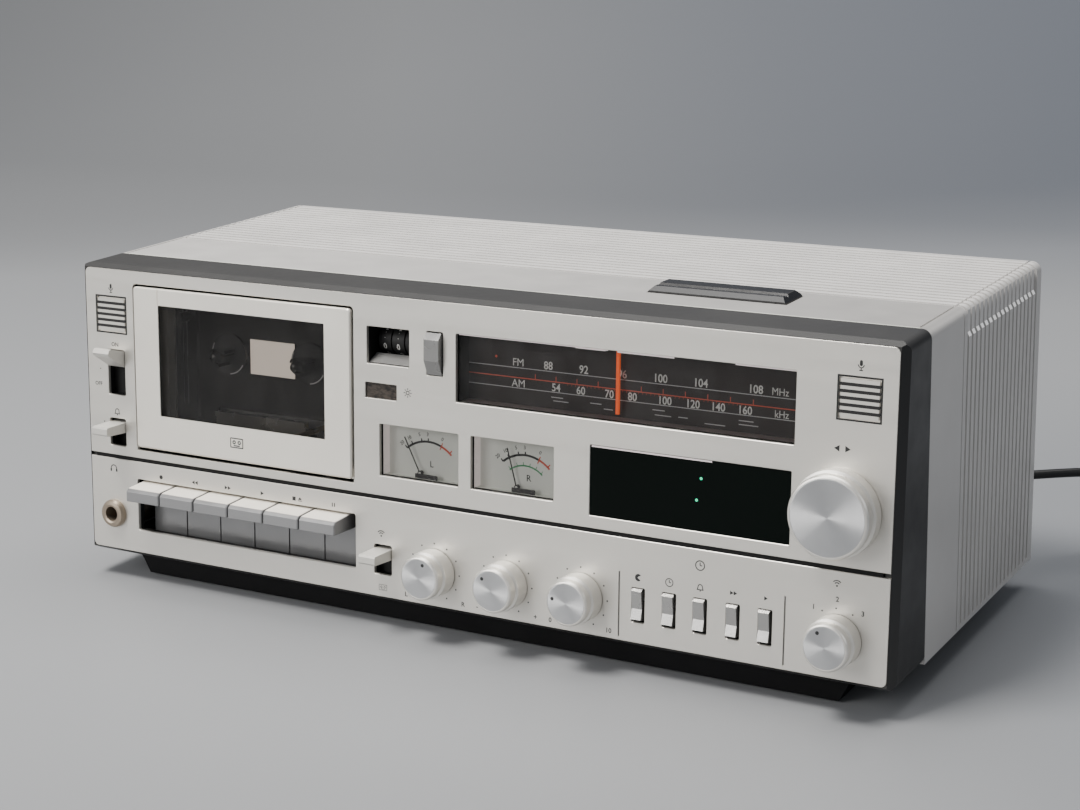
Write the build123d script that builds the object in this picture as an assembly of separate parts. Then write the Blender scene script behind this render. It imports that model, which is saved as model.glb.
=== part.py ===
from build123d import *
import math
import os

# Cassette clock radio. Millimetres. +X right, +Y into the object, +Z up.
# The origin is the middle of the footprint, on the surface that the radio stands on.
# Front pieces are drawn on the fascia's own plane (x across, y depth behind the fascia's face, z up the
# fascia) and then leaned back with it. "u" values are measured from the fascia's left edge.

# ---------------------------------------------------------------- driving dimensions
PANEL_W, PANEL_H = 375.0, 126.0      # aluminium fascia
LEAN = 4.0                           # degrees that the fascia leans back
PANEL_Z = 9.0                        # fascia's bottom edge above the table
BACK_Y = 166.5                       # rear rim of the cabinet, from the fascia's bottom edge
Y_SHIFT = -77.488                      # moves the footprint's middle to y = 0
STAND = 4.8                          # the plinth and feet raise the body by this much: heights below are drawn from its old floor line
HALF_W = 190.0                       # cabinet's half width
CAB_Z0, CAB_Z1 = 6.8, 136.05         # cabinet's underside and top
SEAM_Y = 33.0                        # where the dark front frame meets the cabinet shell
CORNER_R = 4.0
SKIN = 1.5                           # fascia plate
SUB_Y = 4.0                          # rear face of the moulded wall behind the fascia

RIB_Y0, RIB_PITCH, RIB_COUNT = 74.2, 5.03, 17
GROOVE_W = 1.9
RIB_STEP_Z = 124.2                   # the side ribs step in above this height
RIB_LOW_Z = 9.5

DOOR = (27.5, 140.9, 48.3, 119.3)    # u, u, v, v
DOOR_WINDOW = (41.1, 128.0, 63.6, 112.1)
DOOR_HINGE_Y, DOOR_HINGE_Z = 3.0, 49.7
WELL_BACK = 22.5
SPOOL_V, SPOOL_GAP = 90.0, 42.5      # cassette hub height and real hub spacing
SPOOL_U = 84.35
CAPSTAN_U, CAPSTAN_V = 108.3, 61.2
SLED_TRAVEL = 4.0

KEYS_OPEN = (26.2, 142.2, 10.5, 33.6)
KEY_PITCH, KEY_W, KEY_U0 = 18.5, 17.85, 28.05
KEY_AXLE_Y, KEY_AXLE_Z = 21.0, 22.0

COUNTER = (148.5, 168.9, 97.7, 113.0)
DRUM_U, DRUM_PITCH, DRUM_V, DRUM_Y, DRUM_R = 158.4, 6.4, 106.0, 13.9, 6.0
RESET = (177.2, 184.9, 95.6, 113.5)
DIMMER = (147.6, 162.8, 83.4, 89.9)
VU_L = (154.4, 192.1, 51.5, 73.2)
VU_R = (197.9, 235.7, 51.5, 73.2)
PIVOT_L, PIVOT_R = (170.4, 53.4), (215.9, 53.4)
DISPLAY = (251.6, 335.1, 48.2, 76.2)
DIAL = (190.9, 335.8, 86.0, 113.7)
POINTER_U = 259.4
MIC_L = (6.3, 22.2, 98.1, 113.4)
MIC_R = (352.2, 368.2, 98.1, 113.4)
TUNING = (354.2, 63.8)
KNOBS = {"balance_knob": (180.8, 14.7), "tone_knob": (214.6, 14.8),
         "volume_knob": (248.3, 15.0), "band_knob": (354.95, 15.4)}
KNOB_REST = {"balance_knob": 18, "tone_knob": -42, "volume_knob": -78, "band_knob": -28}   # degrees from the top
JACK = (12.9, 16.5)
JACK_BORE_R, JACK_BORE_LEN = 3.25, 18.0
POWER = (11.5, 21.0, 70.2, 90.4)
ALARM = (11.5, 20.5, 47.4, 59.7)
FUNCTION = (151.4, 160.0, 9.7, 22.4)
BUTTONS = {"sleep_button": (270.7, 276.3), "time_button": (283.8, 289.6), "alarm_set_button": (296.8, 302.6),
           "fast_button": (310.5, 316.1), "slow_button": (323.6, 329.3)}
BUTTON_V = (8.4, 22.4)

SNOOZE = (66.3, 126.2, 49.9, 67.0)   # x, x, y, y of the opening in the top
CORD_R = 2.0
CORD_X, CORD_Z = 168.4, 34.5
CORD_Y0 = 175.0                      # free end of the strain relief

os.makedirs("parts", exist_ok=True)
nodes = {}


# ---------------------------------------------------------------- helpers
def X(u):
    return u - PANEL_W / 2


def bx(x0, x1, y0, y1, z0, z1):
    return Pos((x0 + x1) / 2, (y0 + y1) / 2, (z0 + z1) / 2) * Box(x1 - x0, y1 - y0, z1 - z0)


def bu(u0, u1, y0, y1, v0, v1):
    return bx(X(u0), X(u1), y0, y1, v0, v1)


def cy(x, z, r, y0, y1):
    return Pos(x, (y0 + y1) / 2, z) * Rot(90, 0, 0) * Cylinder(r, y1 - y0)


def cx(y, z, r, x0, x1):
    return Pos((x0 + x1) / 2, y, z) * Rot(0, 90, 0) * Cylinder(r, x1 - x0)


def cz(x, y, r, z0, z1):
    return Pos(x, y, (z0 + z1) / 2) * Cylinder(r, z1 - z0)


def rr(x0, x1, z0, z1, r, y0, y1):
    pl = Plane(origin=((x0 + x1) / 2, y1, (z0 + z1) / 2), x_dir=(1, 0, 0), z_dir=(0, -1, 0))
    return extrude(pl * RectangleRounded(x1 - x0, z1 - z0, r), amount=y1 - y0)


def ru(rect, r, y0, y1, grow=0.0):
    return rr(X(rect[0]) - grow, X(rect[1]) + grow, rect[2] - grow, rect[3] + grow, r, y0, y1)


def prof_x(pts, x0, x1):
    pl = Plane(origin=(x0, 0, 0), x_dir=(0, 1, 0), z_dir=(1, 0, 0))
    return extrude(pl * make_face(Polyline(*pts, close=True)), amount=x1 - x0)


def prof_y(pts, y0, y1):
    pl = Plane(origin=(0, y1, 0), x_dir=(1, 0, 0), z_dir=(0, -1, 0))
    return extrude(pl * make_face(Polyline(*pts, close=True)), amount=y1 - y0)


def prof_z(pts, z0, z1):
    pl = Plane(origin=(0, 0, z0), x_dir=(1, 0, 0), z_dir=(0, 0, 1))
    return extrude(pl * make_face(Polyline(*pts, close=True)), amount=z1 - z0)


def turned(pts, x, z):
    """Solid of revolution about an axis along y. pts are (radius, y)."""
    return Pos(x, 0, z) * revolve(make_face(Polyline(*pts, close=True)), Axis.Y, 360)


def front(shape):
    return Pos(0, 0, PANEL_Z) * Rot(-LEAN, 0, 0) * shape


def put(name, shape, leaned=True, lift=STAND):
    if leaned:
        shape = front(shape)
    nodes[name] = Pos(0, Y_SHIFT, lift) * shape


def put_group(name, shapes, leaned=True):
    """Separate solids that share one node, each moved to its place before they are grouped."""
    solids = []
    for shape in shapes:
        for s in shape.solids():
            solids.append(Pos(0, Y_SHIFT, STAND) * (front(s) if leaned else s))
    nodes[name] = Compound(children=solids)


# ---------------------------------------------------------------- cabinet shell: ribbed top and sides
outer = rr(-HALF_W, HALF_W, -40, CAB_Z1, CORNER_R, SEAM_Y + 0.3, BACK_Y) & bx(-200, 200, 0, 200, CAB_Z0, 140)
inner = rr(-HALF_W + 3.0, HALF_W - 3.0, -40, CAB_Z1 - 2.85, 1.6, SEAM_Y - 5, BACK_Y + 5)
shell = outer - inner
ring_in = rr(-HALF_W + 1.4, HALF_W - 1.4, -60, CAB_Z1 - 0.95, 2.8, 60, 170)
cut = None
for k in range(RIB_COUNT + 1):
    y = RIB_Y0 + RIB_PITCH * k
    slab = bx(-195, 195, y - GROOVE_W / 2, y + GROOVE_W / 2, RIB_LOW_Z, 140) + cx(y, RIB_LOW_Z, GROOVE_W / 2, -195, 195)
    cut = slab if cut is None else cut + slab
shell -= cut - ring_in
# The ribs step in by 0.8 mm above RIB_STEP_Z, with a sloping shoulder.
y0, y1 = RIB_Y0 - GROOVE_W / 2, RIB_Y0 + RIB_PITCH * RIB_COUNT + GROOVE_W / 2
for s in (1, -1):
    pts = [(s * 191.0, RIB_STEP_Z - 0.4), (s * 190.0, RIB_STEP_Z), (s * 189.2, RIB_STEP_Z + 1.7),
           (s * 189.2, 134.4), (s * 191.0, 134.9)]
    shell -= prof_y(pts, y0, y1)
    # lengthwise joint line on the top, and the line ahead of the ribs on the side
    shell -= bx(s * 184.9 - 0.45, s * 184.9 + 0.45, SEAM_Y, 170, CAB_Z1 - 0.9, 140)
    shell -= bx(min(s * 189.4, s * 191), max(s * 189.4, s * 191), 69.0, 69.8, RIB_LOW_Z - 2, 134.5)
# opening and shallow dish for the snooze bar
sx0, sx1, sy0, sy1 = SNOOZE
shell -= bx(sx0, sx1, sy0, sy1, 130, 140)
# screw bosses for the back cover
for x in (-179.5, 179.5):
    for z in (24.0, 118.0):
        xa, xb = (x, x + 8) if x > 0 else (x - 8, x)
        boss = bx(xa, xb, 140, 162.0, z - 4.5, z + 4.5) + cy(x, z, 4.5, 140, 162.0)
        shell += boss & bx(-188, 188, 0, 200, 0, 134)
        shell -= cy(x, z, 1.6, 138, 163)
shell += bx(-4.5, 4.5, 140, 162.0, 122, 134)
shell -= cy(0, 126.5, 1.6, 138, 163)
put("cabinet_shell", shell, False)

# ---------------------------------------------------------------- back cover, with vents and the cord hole
back = rr(-186.8, 186.8, 9.6, 133.0, 1.2, 162.0, 164.5)
for row in (60.0, 92.0):
    for k in range(22):
        xk = -126 + k * 12.0
        back -= rr(xk - 1.6, xk + 1.6, row - 11, row + 11, 1.5, 160, 167)
back -= cy(CORD_X, CORD_Z, 4.3, 160, 167)
SCREWS = [(-179.5, 24.0), (-179.5, 118.0), (179.5, 24.0), (179.5, 118.0), (0, 126.5), (0, 14.6)]
for x, z in SCREWS:
    back -= cy(x, z, 1.6, 160, 167)
put("back_cover", back, False)
heads = []
for x, z in SCREWS:
    s = turned([(0, 164.5), (3.1, 164.5), (3.0, 165.4), (2.2, 166.2), (0, 166.4)], x, z) + cy(x, z, 1.5, 150, 164.6)
    s -= bx(x - 2.2, x + 2.2, 165.5, 167, z - 0.35, z + 0.35) + bx(x - 0.35, x + 0.35, 165.5, 167, z - 2.2, z + 2.2)
    heads.append(s)
put_group("screws", heads, False)

# ---------------------------------------------------------------- base tray and plinth
tray = bx(-186.8, 186.8, SEAM_Y + 0.4, 161.9, CAB_Z0, 9.3)
FOOT_Z = 0.9 - STAND                 # the plinth's lower edge, just off the table
plinth_front = [(-170.6, CAB_Z0), (-165.0, FOOT_Z), (165.0, FOOT_Z), (170.6, CAB_Z0)]
plinth = prof_y(plinth_front, 10.4, 150.0)
plinth -= prof_y([(-167.0, 5.0), (-162.0, FOOT_Z - 1), (162.0, FOOT_Z - 1), (167.0, 5.0)], 13.4, 147.0)
for xr in (-80.0, 0.0, 80.0):
    plinth += bx(xr - 1.5, xr + 1.5, 13, 148, FOOT_Z, 5.2)
tray += plinth
FEET = [(-146.0, 26.0), (146.0, 26.0), (-146.0, 135.0), (146.0, 135.0)]
for x, y in FEET:
    tray += cz(x, y, 9.5, FOOT_Z, 5.2)
    tray -= cz(x, y, 7.6, -STAND, -STAND + 2.6)
tray += bx(-5, 5, 150, 161.9, 9.2, 19.0)
tray -= cy(0, 14.6, 1.6, 148, 163)
SPEAKERS = [(-110.0, 119.0), (110.0, 119.0)]
for x, y in SPEAKERS:
    for k in range(-5, 6):
        h = math.sqrt(32.0 ** 2 - (k * 5.4) ** 2)
        xk = x + k * 5.4
        if min(abs(xk - xr) for xr in (-80.0, 80.0)) >= 3.4:
            tray -= bx(xk - 1.2, xk + 1.2, max(y - h, 90.0), min(y + h, 145.0), 4.0, 10.0)
put("base_tray", tray, False)
put_group("rubber_feet", [cz(x, y, 7.5, -STAND, -STAND + 2.6) for x, y in FEET], False)

# ---------------------------------------------------------------- dark front frame and the moulded wall set into it
top_y = PANEL_H * math.sin(math.radians(LEAN))
top_z = PANEL_Z + PANEL_H * math.cos(math.radians(LEAN))
bez = prof_x([(0, PANEL_Z), (3.7, CAB_Z0), (SEAM_Y, CAB_Z0), (SEAM_Y, CAB_Z1), (top_y + 3.6, CAB_Z1), (top_y, top_z)],
             -HALF_W, HALF_W)
bez = bez & front(prof_z([(-187.5, 0), (187.5, 0), (190, 3.7), (190, 60), (-190, 60), (-190, 3.7)], -20, 160))
bez = bez & rr(-HALF_W, HALF_W, CAB_Z0, CAB_Z1, CORNER_R - 0.3, -20, 60)
bez -= front(rr(-187.5, 187.5, 0, 126, 2.6, -6, SKIN))
bez -= bx(-186.8, 186.8, -20, 60, 9.6, 133.1) & front(bx(-200, 200, SUB_Y, 90, -30, 160))


def window_grow(rect, g):
    return (rect[0] - g, rect[1] + g, rect[2] - g, rect[3] + g)


fb = None
# bosses that carry the door's hinge pins
for ua, ub in ((22.4, 26.4), (142.3, 146.3)):
    b = bu(ua, ub, SUB_Y - 0.2, 6.6, 47.0, 52.4)
    fb = b if fb is None else fb + b
# tunnel round the dial, open along its top behind the wall
fb += bu(189.4, 190.9, SUB_Y - 0.2, 10.2, 84.4, 113.4)
fb += bu(336.0, 337.5, SUB_Y - 0.2, 10.2, 84.4, 113.4)
fb += bu(189.4, 337.5, SUB_Y - 0.2, 10.2, 84.4, 85.8)
# counter recess: side cheeks, roof, sloping sill and the drum axle
fb += bu(146.6, 148.2, SUB_Y - 0.2, 21.0, 96.2, 115.0)
fb += bu(169.2, 170.8, SUB_Y - 0.2, 21.0, 96.2, 115.0)
fb += bu(146.6, 170.8, SUB_Y - 0.2, 21.0, 113.4, 115.0)
fb += prof_x([(SKIN, 96.2), (SKIN, 97.9), (7.4, 101.0), (7.4, 96.2)], X(146.8), X(170.6))
fb += cx(DRUM_Y, DRUM_V, 1.0, X(147.0), X(170.5))
# the dark rib that shows between the two plates
fb += bu(3.2, 371.8, 0.3, SUB_Y, 41.5, 43.1)
bez = bez + front(fb)
holes = [ru(window_grow(DOOR, 1.5), 1.0, 1.0, 5.0) - bu(20, 150, 0, 6, 40, 45.4),
         ru(KEYS_OPEN, 0.8, 1.0, 5.0),
         ru(DIAL, 0.4, 1.0, 5.0), ru(DIAL, 0.8, 1.0, 2.8, 1.0),
         ru(DISPLAY, 0.4, 1.0, 5.0), ru(DISPLAY, 0.8, 1.0, 2.8, 1.0),
         ru(VU_L, 0.4, 1.0, 5.0), ru(VU_L, 0.8, 1.0, 2.8, 1.0),
         ru(VU_R, 0.4, 1.0, 5.0), ru(VU_R, 0.8, 1.0, 2.8, 1.0),
         bu(COUNTER[0], COUNTER[1], 1.0, 7.4, 101.0, COUNTER[3]),
         bu(COUNTER[0], COUNTER[1], 1.0, 5.0, 97.9, COUNTER[3]) - prof_x([(0.9, 90), (0.9, 97.6), (1.5, 97.9), (7.4, 101.0), (7.4, 90)], X(140), X(180)),
         ru(RESET, 0.6, 1.0, 5.0, 0.1), ru(DIMMER, 0.3, 1.0, 2.6, 0.1),
         ru(POWER, 0.8, 1.0, 5.0, 0.1), ru(ALARM, 0.8, 1.0, 5.0, 0.1), ru(FUNCTION, 0.8, 1.0, 5.0, 0.1),
         cy(X(JACK[0]), JACK[1], 5.6, 1.0, 5.0), cy(X(TUNING[0]), TUNING[1], 4.2, 1.0, 5.0),
         cx(DOOR_HINGE_Y, DOOR_HINGE_Z, 1.05, X(23.2), X(145.5))]
for u, v in KNOBS.values():
    holes.append(cy(X(u), v, 4.2, 1.0, 5.0))
for u0, u1 in BUTTONS.values():
    holes.append(ru((u0, u1, *BUTTON_V), 0.6, 1.0, 5.0, 0.1))
# the hinge boss bottoms out in the wall, so the wall's lower corners are relieved for the door's lip
holes.append(bu(25.9, 142.8, 1.0, 5.0, 45.4, 48.0))
for h in holes:
    bez -= front(h)
# the wall drops into the frame, and is moulded in two halves: one round the deck, one for the dial and controls
WALL_IN = (3.1, 371.9, 3.2, 123.2)
WALL_SPLIT = 146.4
put("front_bezel", bez - front(ru(WALL_IN, 1.4, -10, 60)), False)
wall = bez & front(ru(WALL_IN, 1.4, -10, 60, -0.1))
put_group("front_wall", [wall & front(bu(-5, WALL_SPLIT - 0.05, -20, 60, -10, 140)), wall & front(bu(WALL_SPLIT + 0.05, 380, -20, 60, -10, 140))], False)

# ---------------------------------------------------------------- fascia plates
plate = rr(-187.3, 187.3, 0.2, 125.8, 2.4, 0, SKIN)
upper = plate & bx(-200, 200, -1, 3, 43.2, 130)
lower = plate & bx(-200, 200, -1, 3, -5, 41.4)
for rect, r, g in ((window_grow(DOOR, 0.95), 1.9, 0), (COUNTER, 0.4, 0), (RESET, 0.6, 0), (DIMMER, 0.3, 0),
                   (POWER, 0.8, 0), (ALARM, 0.8, 0), (VU_L, 0.5, 0), (VU_R, 0.5, 0), (DISPLAY, 0.4, 0), (DIAL, 0.5, 0)):
    upper -= ru(rect, r, -1, 3, g)
upper -= bu(DOOR[0] - 0.6, DOOR[1] + 0.6, -1, 3, DOOR[2] - 1.5, DOOR[2] + 3)
upper -= cy(X(TUNING[0]), TUNING[1], 4.2, -1, 3)
for rect, r in ((KEYS_OPEN, 0.9), (FUNCTION, 0.8)):
    lower -= ru(rect, r, -1, 3)
for u0, u1 in BUTTONS.values():
    lower -= ru((u0, u1, *BUTTON_V), 0.6, -1, 3)
lower -= cy(X(JACK[0]), JACK[1], 5.6, -1, 3)
for u, v in KNOBS.values():
    lower -= cy(X(u), v, 4.2, -1, 3)


def bevel_front(shape, d):
    face = shape.faces().filter_by(Axis.Y).sort_by(Axis.Y)[0]
    try:
        return chamfer(face.edges(), d)
    except Exception as err:
        print("bevel skipped", err)
        return shape


upper = bevel_front(upper, 0.18)
lower = bevel_front(lower, 0.18)
# microphone grilles: six slats behind a sunk outline
for rect in (MIC_L, MIC_R):
    u0, u1, v0, v1 = rect
    upper -= ru(rect, 0.3, -1, 1.0) - ru(rect, 0.2, -2, 2.0, -0.6)
    n = 6
    gap = 1.0
    slat = (v1 - v0 - 1.2 - gap * (n - 1)) / n
    for k in range(n - 1):
        v = v0 + 0.6 + slat * (k + 1) + gap * k
        upper -= bu(u0 + 0.3, u1 - 0.3, -1, 3, v, v + gap)
# engraved separator lines
lower -= bu(264.95, 265.65, -1, 0.5, 1.6, 27.9)
lower -= bu(333.95, 334.65, -1, 0.5, 1.8, 28.7)
put("upper_fascia", upper)
put("lower_fascia", lower)

# ---------------------------------------------------------------- cassette door and its window
d0, d1, d2, d3 = DOOR
door = rr(X(d0), X(d1), d2, d3, 1.6, -1.0, 0.9)
door = bevel_front(door, 0.5)
door -= prof_x([(-1.6, d2 + 1.5), (0.05, d2 - 0.1), (-1.6, d2 - 0.1)], X(d0) - 1, X(d1) + 1)
door -= ru(DOOR_WINDOW, 0.5, -3, 3)
door -= ru(DOOR_WINDOW, 0.8, 0.0, 3, 1.2)
door -= bu(40.8, 41.1, -2, -0.7, DOOR_WINDOW[3], d3 + 1)
# cassette guides, their shelf and the hinge pins
for ua, ub, uc, ud in ((31.2, 32.8, 32.8, 36.5), (135.9, 137.5, 132.2, 135.9)):
    door += bu(ua, ub, 0.9, 16.4, 53.2, 113.0)
    door += bu(min(ua, uc), max(ub, ud), 15.2, 16.4, 53.2, 113.0)
for ua, ub in ((31.2, 46.0), (122.7, 137.5)):
    door += bu(ua, ub, 0.8, 16.4, 52.2, 53.6)
for ua, ub in ((27.6, 32.8), (135.9, 141.1)):
    door += bu(ua, ub, 0.8, 4.4, 48.3, 52.6)
door += cx(DOOR_HINGE_Y, DOOR_HINGE_Z, 1.0, X(23.5), X(27.8)) + cx(DOOR_HINGE_Y, DOOR_HINGE_Z, 1.0, X(140.9), X(145.2))
put("cassette_door", door)
put("door_window", ru(DOOR_WINDOW, 0.7, 0.0, 1.3, 1.1) + ru(DOOR_WINDOW, 0.4, -0.5, 0.1, -0.1))

# ---------------------------------------------------------------- cassette well
well = rr(X(24.2), X(144.6), 43.9, 122.9, 1.5, SUB_Y, 24.0)
well -= rr(X(25.8), X(143.0), 45.4, 121.4, 1.0, SUB_Y - 1, WELL_BACK)
well -= bu(20.0, 26.6, SUB_Y - 1, 7.0, 46.6, 52.8) + bu(142.1, 148.0, SUB_Y - 1, 7.0, 46.6, 52.8)
for s in (-1, 1):
    well -= cy(X(SPOOL_U) + s * SPOOL_GAP / 2, SPOOL_V, 3.0, 20, 26)
well -= bu(54.0, 115.0, 21, 26, 46.9, 65.0)
well -= cy(X(CAPSTAN_U), CAPSTAN_V, 3.0, 20, 26)
# pale light pad between the hubs, and two posts that meet the cassette's back
well += bu(73.2, 96.6, 21.6, 22.6, 82.2, 97.2)
for u in (38.0, 130.7):
    well += cy(X(u), 104.0, 2.2, 17.2, 22.6)
# upright mouldings in the left of the well
well += bu(27.8, 31.0, 18.0, 22.6, 57.0, 120.5)
well += bu(41.5, 44.5, 20.6, 22.6, 60.0, 120.5)
put("cassette_well", well)

# ---------------------------------------------------------------- deck plate with key axle, posts and bridge
deck = bu(21.5, 147.0, 26.6, 27.8, 6.0, 122.0)
for s in (-1, 1):
    deck -= cy(X(SPOOL_U) + s * SPOOL_GAP / 2, SPOOL_V, 2.0, 25, 29)
deck -= cy(X(CAPSTAN_U), CAPSTAN_V, 1.25, 25, 29)
for u in (22.3, 143.9):
    deck += bu(u, u + 1.4, 16.5, 26.8, 15.0, 29.0)
deck += cx(KEY_AXLE_Y, KEY_AXLE_Z, 2.0, X(22.3), X(145.3))
for u, v in ((82.5, CAPSTAN_V), (134.2, CAPSTAN_V)):
    deck += cy(X(u), v, 2.0, 27.6, 47.0)
deck += bu(79.5, 137.2, 46.8, 48.0, CAPSTAN_V - 4.5, CAPSTAN_V + 4.5)
MOTOR_U, MOTOR_V = 45.0, 46.0
for u in (24.5, 65.5):
    deck += cy(X(u), MOTOR_V, 2.2, 27.6, 46.5)
for u in (30.0, 138.0):
    deck += bu(u, u + 6, 24.0, 26.8, 112.0, 118.0)
put("deck_plate", deck)

# ---------------------------------------------------------------- heads on their sled, pinch roller
sled = bu(55.0, 114.0, 24.5, 25.9, 48.0, 60.3) - bu(105.4, 111.2, 24, 26.5, 55.2, 61)
sled += bu(57.0, 111.5, 15.0, 24.6, 48.2, 51.0)
sled += bu(56.0, 104.0, 18.6, 20.6, 50.8, 64.4)
sled += bu(56.0, 104.0, 17.6, 20.6, 62.4, 64.4)
sled += bu(77.0, 91.7, 6.6, 18.8, 47.4, 53.6)
sled += bu(60.0, 69.0, 7.4, 18.8, 47.4, 53.2)
sled += bu(100.8, 115.0, 16.6, 18.2, 48.4, 52.9) + bu(100.8, 104.0, 16.6, 20.0, 48.4, 52.9)
sled += cy(X(CAPSTAN_U), 50.7, 1.0, 5.9, 17.0)
put("head_sled", sled)
put("pinch_roller", cy(X(CAPSTAN_U), 50.7, 4.9, 6.8, 14.6) - cy(X(CAPSTAN_U), 50.7, 1.05, 6, 16))

# ---------------------------------------------------------------- hubs, capstan, flywheel, motor, belt
for name, s in (("supply_spindle", -1), ("takeup_spindle", 1)):
    x = X(SPOOL_U) + s * SPOOL_GAP / 2
    h = turned([(0, 7.6), (1.6, 8.0), (3.1, 10.2), (3.1, 19.2), (9.2, 19.2), (9.2, 20.4), (4.6, 21.3), (1.95, 21.3), (1.95, 33.6), (0, 33.6)], x, SPOOL_V)
    h += turned([(0, 28.4), (8.6, 28.4), (8.6, 31.2), (0, 31.2)], x, SPOOL_V)
    for a in (90, 210, 330):
        fin = Pos(x, 0, SPOOL_V) * Rot(0, a, 0) * bx(0.5, 4.5, 11.2, 19.3, -0.75, 0.75)
        h += fin
    put(name, h)
xc = X(CAPSTAN_U)
fly = cy(xc, CAPSTAN_V, 1.2, 5.6, 46.4)
fly += turned([(0, 35.2), (21.0, 35.2), (22.0, 36.2), (22.0, 41.6), (21.0, 42.6), (0, 42.6)], xc, CAPSTAN_V)
put("capstan_flywheel", fly)
mo = cy(X(MOTOR_U), MOTOR_V, 15.5, 48.0, 76.0) + bu(21.5, 68.5, 46.5, 48.2, MOTOR_V - 6, MOTOR_V + 6)
mo -= cy(X(MOTOR_U), MOTOR_V, 3.0, 46, 50)
put("tape_motor", mo)
put("motor_pulley", turned([(0, 35.8), (5.2, 35.8), (5.2, 36.4), (4.0, 36.8), (4.0, 41.0), (5.2, 41.4), (5.2, 42.0), (1.2, 42.0), (1.2, 49.4), (0, 49.4)],
                           X(MOTOR_U), MOTOR_V))
pl = Plane(origin=(0, 40.0, 0), x_dir=(1, 0, 0), z_dir=(0, -1, 0))


def belt_loop(grow):
    c1 = Pos(xc, CAPSTAN_V) * Circle(22.3 + grow)
    c2 = Pos(X(MOTOR_U), MOTOR_V) * Circle(4.3 + grow)
    return make_hull(c1.edges() + c2.edges())


put("drive_belt", extrude(pl * (belt_loop(0.9) - belt_loop(0.0)), amount=2.2))

# ---------------------------------------------------------------- six piano keys
KEY_NAMES = ["record_key", "rewind_key", "forward_key", "play_key", "stop_eject_key", "pause_key"]
for i, name in enumerate(KEY_NAMES):
    x0 = X(KEY_U0 + KEY_PITCH * i)
    x1 = x0 + KEY_W
    key = prof_x([(-10.0, 25.9), (-10.0, 30.4), (-8.9, 31.4), (1.5, 32.4), (24.0, 32.4), (25.2, 30.8), (25.2, 16.5), (11.0, 16.5),
                  (11.0, 6.8), (9.0, 6.8), (9.0, 25.9)], x0, x1)
    try:
        key = fillet(key.edges().filter_by(Axis.X).group_by(Axis.Y)[0], 0.45)
        key = chamfer(key.faces().sort_by(Axis.Y)[0].edges().filter_by(Axis.Z), 0.4)
    except Exception as err:
        print("key edge", err)
    key -= cx(KEY_AXLE_Y, KEY_AXLE_Z, 2.05, x0 - 1, x1 + 1)
    put(name, key)

# ---------------------------------------------------------------- tape counter drums and the reset bar
for name, k in (("counter_hundreds", -1), ("counter_tens", 0), ("counter_units", 1)):
    xm = X(DRUM_U + DRUM_PITCH * k)
    drum = cx(DRUM_Y, DRUM_V, DRUM_R, xm - 2.85, xm + 2.85) - cx(DRUM_Y, DRUM_V, 1.05, xm - 4, xm + 4)
    put(name, drum)
r0, r1, r2, r3 = RESET
reset = prof_x([(7.6, r2 + 0.4), (0.0, r2 + 0.4), (-2.8, r2 + 6.4), (-2.8, r3 - 3.0), (-0.6, r3 - 0.4), (7.6, r3 - 0.4)], X(r0) + 0.4, X(r1) - 0.4)
reset += bu(r0 - 1.2, r1 + 1.2, 6.4, 7.6, r2 - 1.6, r3 + 1.0)
put("counter_reset_bar", reset)

# ---------------------------------------------------------------- dial, display and level meters
dial = bu(188.6, 338.4, 10.2, 11.2, 83.4, 113.2) + bu(188.6, 338.4, 10.2, 19.4, 112.2, 113.2)
put("dial_plate", dial)
xp = X(POINTER_U)
pointer = bx(xp - 0.65, xp + 0.65, 7.0, 8.2, 87.6, 115.2) + bx(xp - 0.65, xp + 0.65, 7.0, 14.0, 113.9, 115.2)
pointer += bx(xp - 5, xp + 5, 12.6, 21.2, 113.6, 116.2) + bx(xp - 5, xp + 5, 19.9, 21.2, 110.4, 114)
put("dial_pointer", pointer)
put("display_lens", ru(DISPLAY, 0.7, SKIN, 2.7, 0.9) + ru(DISPLAY, 0.35, 0.5, SKIN, -0.12))
cases = []
for rect, piv in ((VU_L, PIVOT_L), (VU_R, PIVOT_R)):
    c = ru(rect, 0.6, 4.1, 17.0, 2.2) - ru(rect, 0.4, 3.0, 7.4, 0.3)
    c += cy(X(piv[0]), piv[1], 0.6, 5.2, 8.0)
    cases.append(c)
put_group("meter_cases", cases)
put_group("dial_and_meter_lenses", [ru(r, 0.7, SKIN, 2.7, 0.9) for r in (DIAL, VU_L, VU_R)])
NEEDLES = (("left_meter_needle", PIVOT_L, -27.0), ("right_meter_needle", PIVOT_R, -15.5))
for name, piv, ang in NEEDLES:
    n = bx(-0.22, 0.22, 5.3, 5.6, 0.0, 16.2) + bx(-0.5, 0.5, 5.3, 5.6, -1.6, 1.0)
    n += cy(0, 0, 1.0, 5.2, 6.8)
    n -= cy(0, 0, 0.65, 4.0, 9.0)
    put(name, Pos(X(piv[0]), 0, piv[1]) * Rot(0, ang, 0) * n)

# ---------------------------------------------------------------- knobs
for name, (u, v) in KNOBS.items():
    k = turned([(0, -11.86), (8.05, -11.86), (8.1, -12.0), (8.3, -12.0), (8.75, -11.8), (9.1, -11.2), (9.1, -8.4), (8.8, -8.1), (8.8, -7.6), (9.7, -7.1),
                (9.8, -6.8), (9.8, -0.4), (3.0, -0.4), (3.0, 14.5), (0, 14.5)], X(u), v)
    a = math.radians(KNOB_REST[name])
    k -= cy(X(u) + 6.1 * math.sin(a), v + 6.1 * math.cos(a), 0.7, -13, -11.6)
    put(name, k)
tk = turned([(0, -11.86), (14.4, -11.86), (14.45, -12.0), (14.6, -12.0), (15.2, -11.8), (15.65, -11.1), (15.65, -7.6), (15.2, -7.2), (15.2, -6.6), (16.4, -6.1), (16.4, -1.0), (16.0, -0.4),
             (3.0, -0.4), (3.0, 26.0), (0, 26.0)], X(TUNING[0]), TUNING[1])
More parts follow.
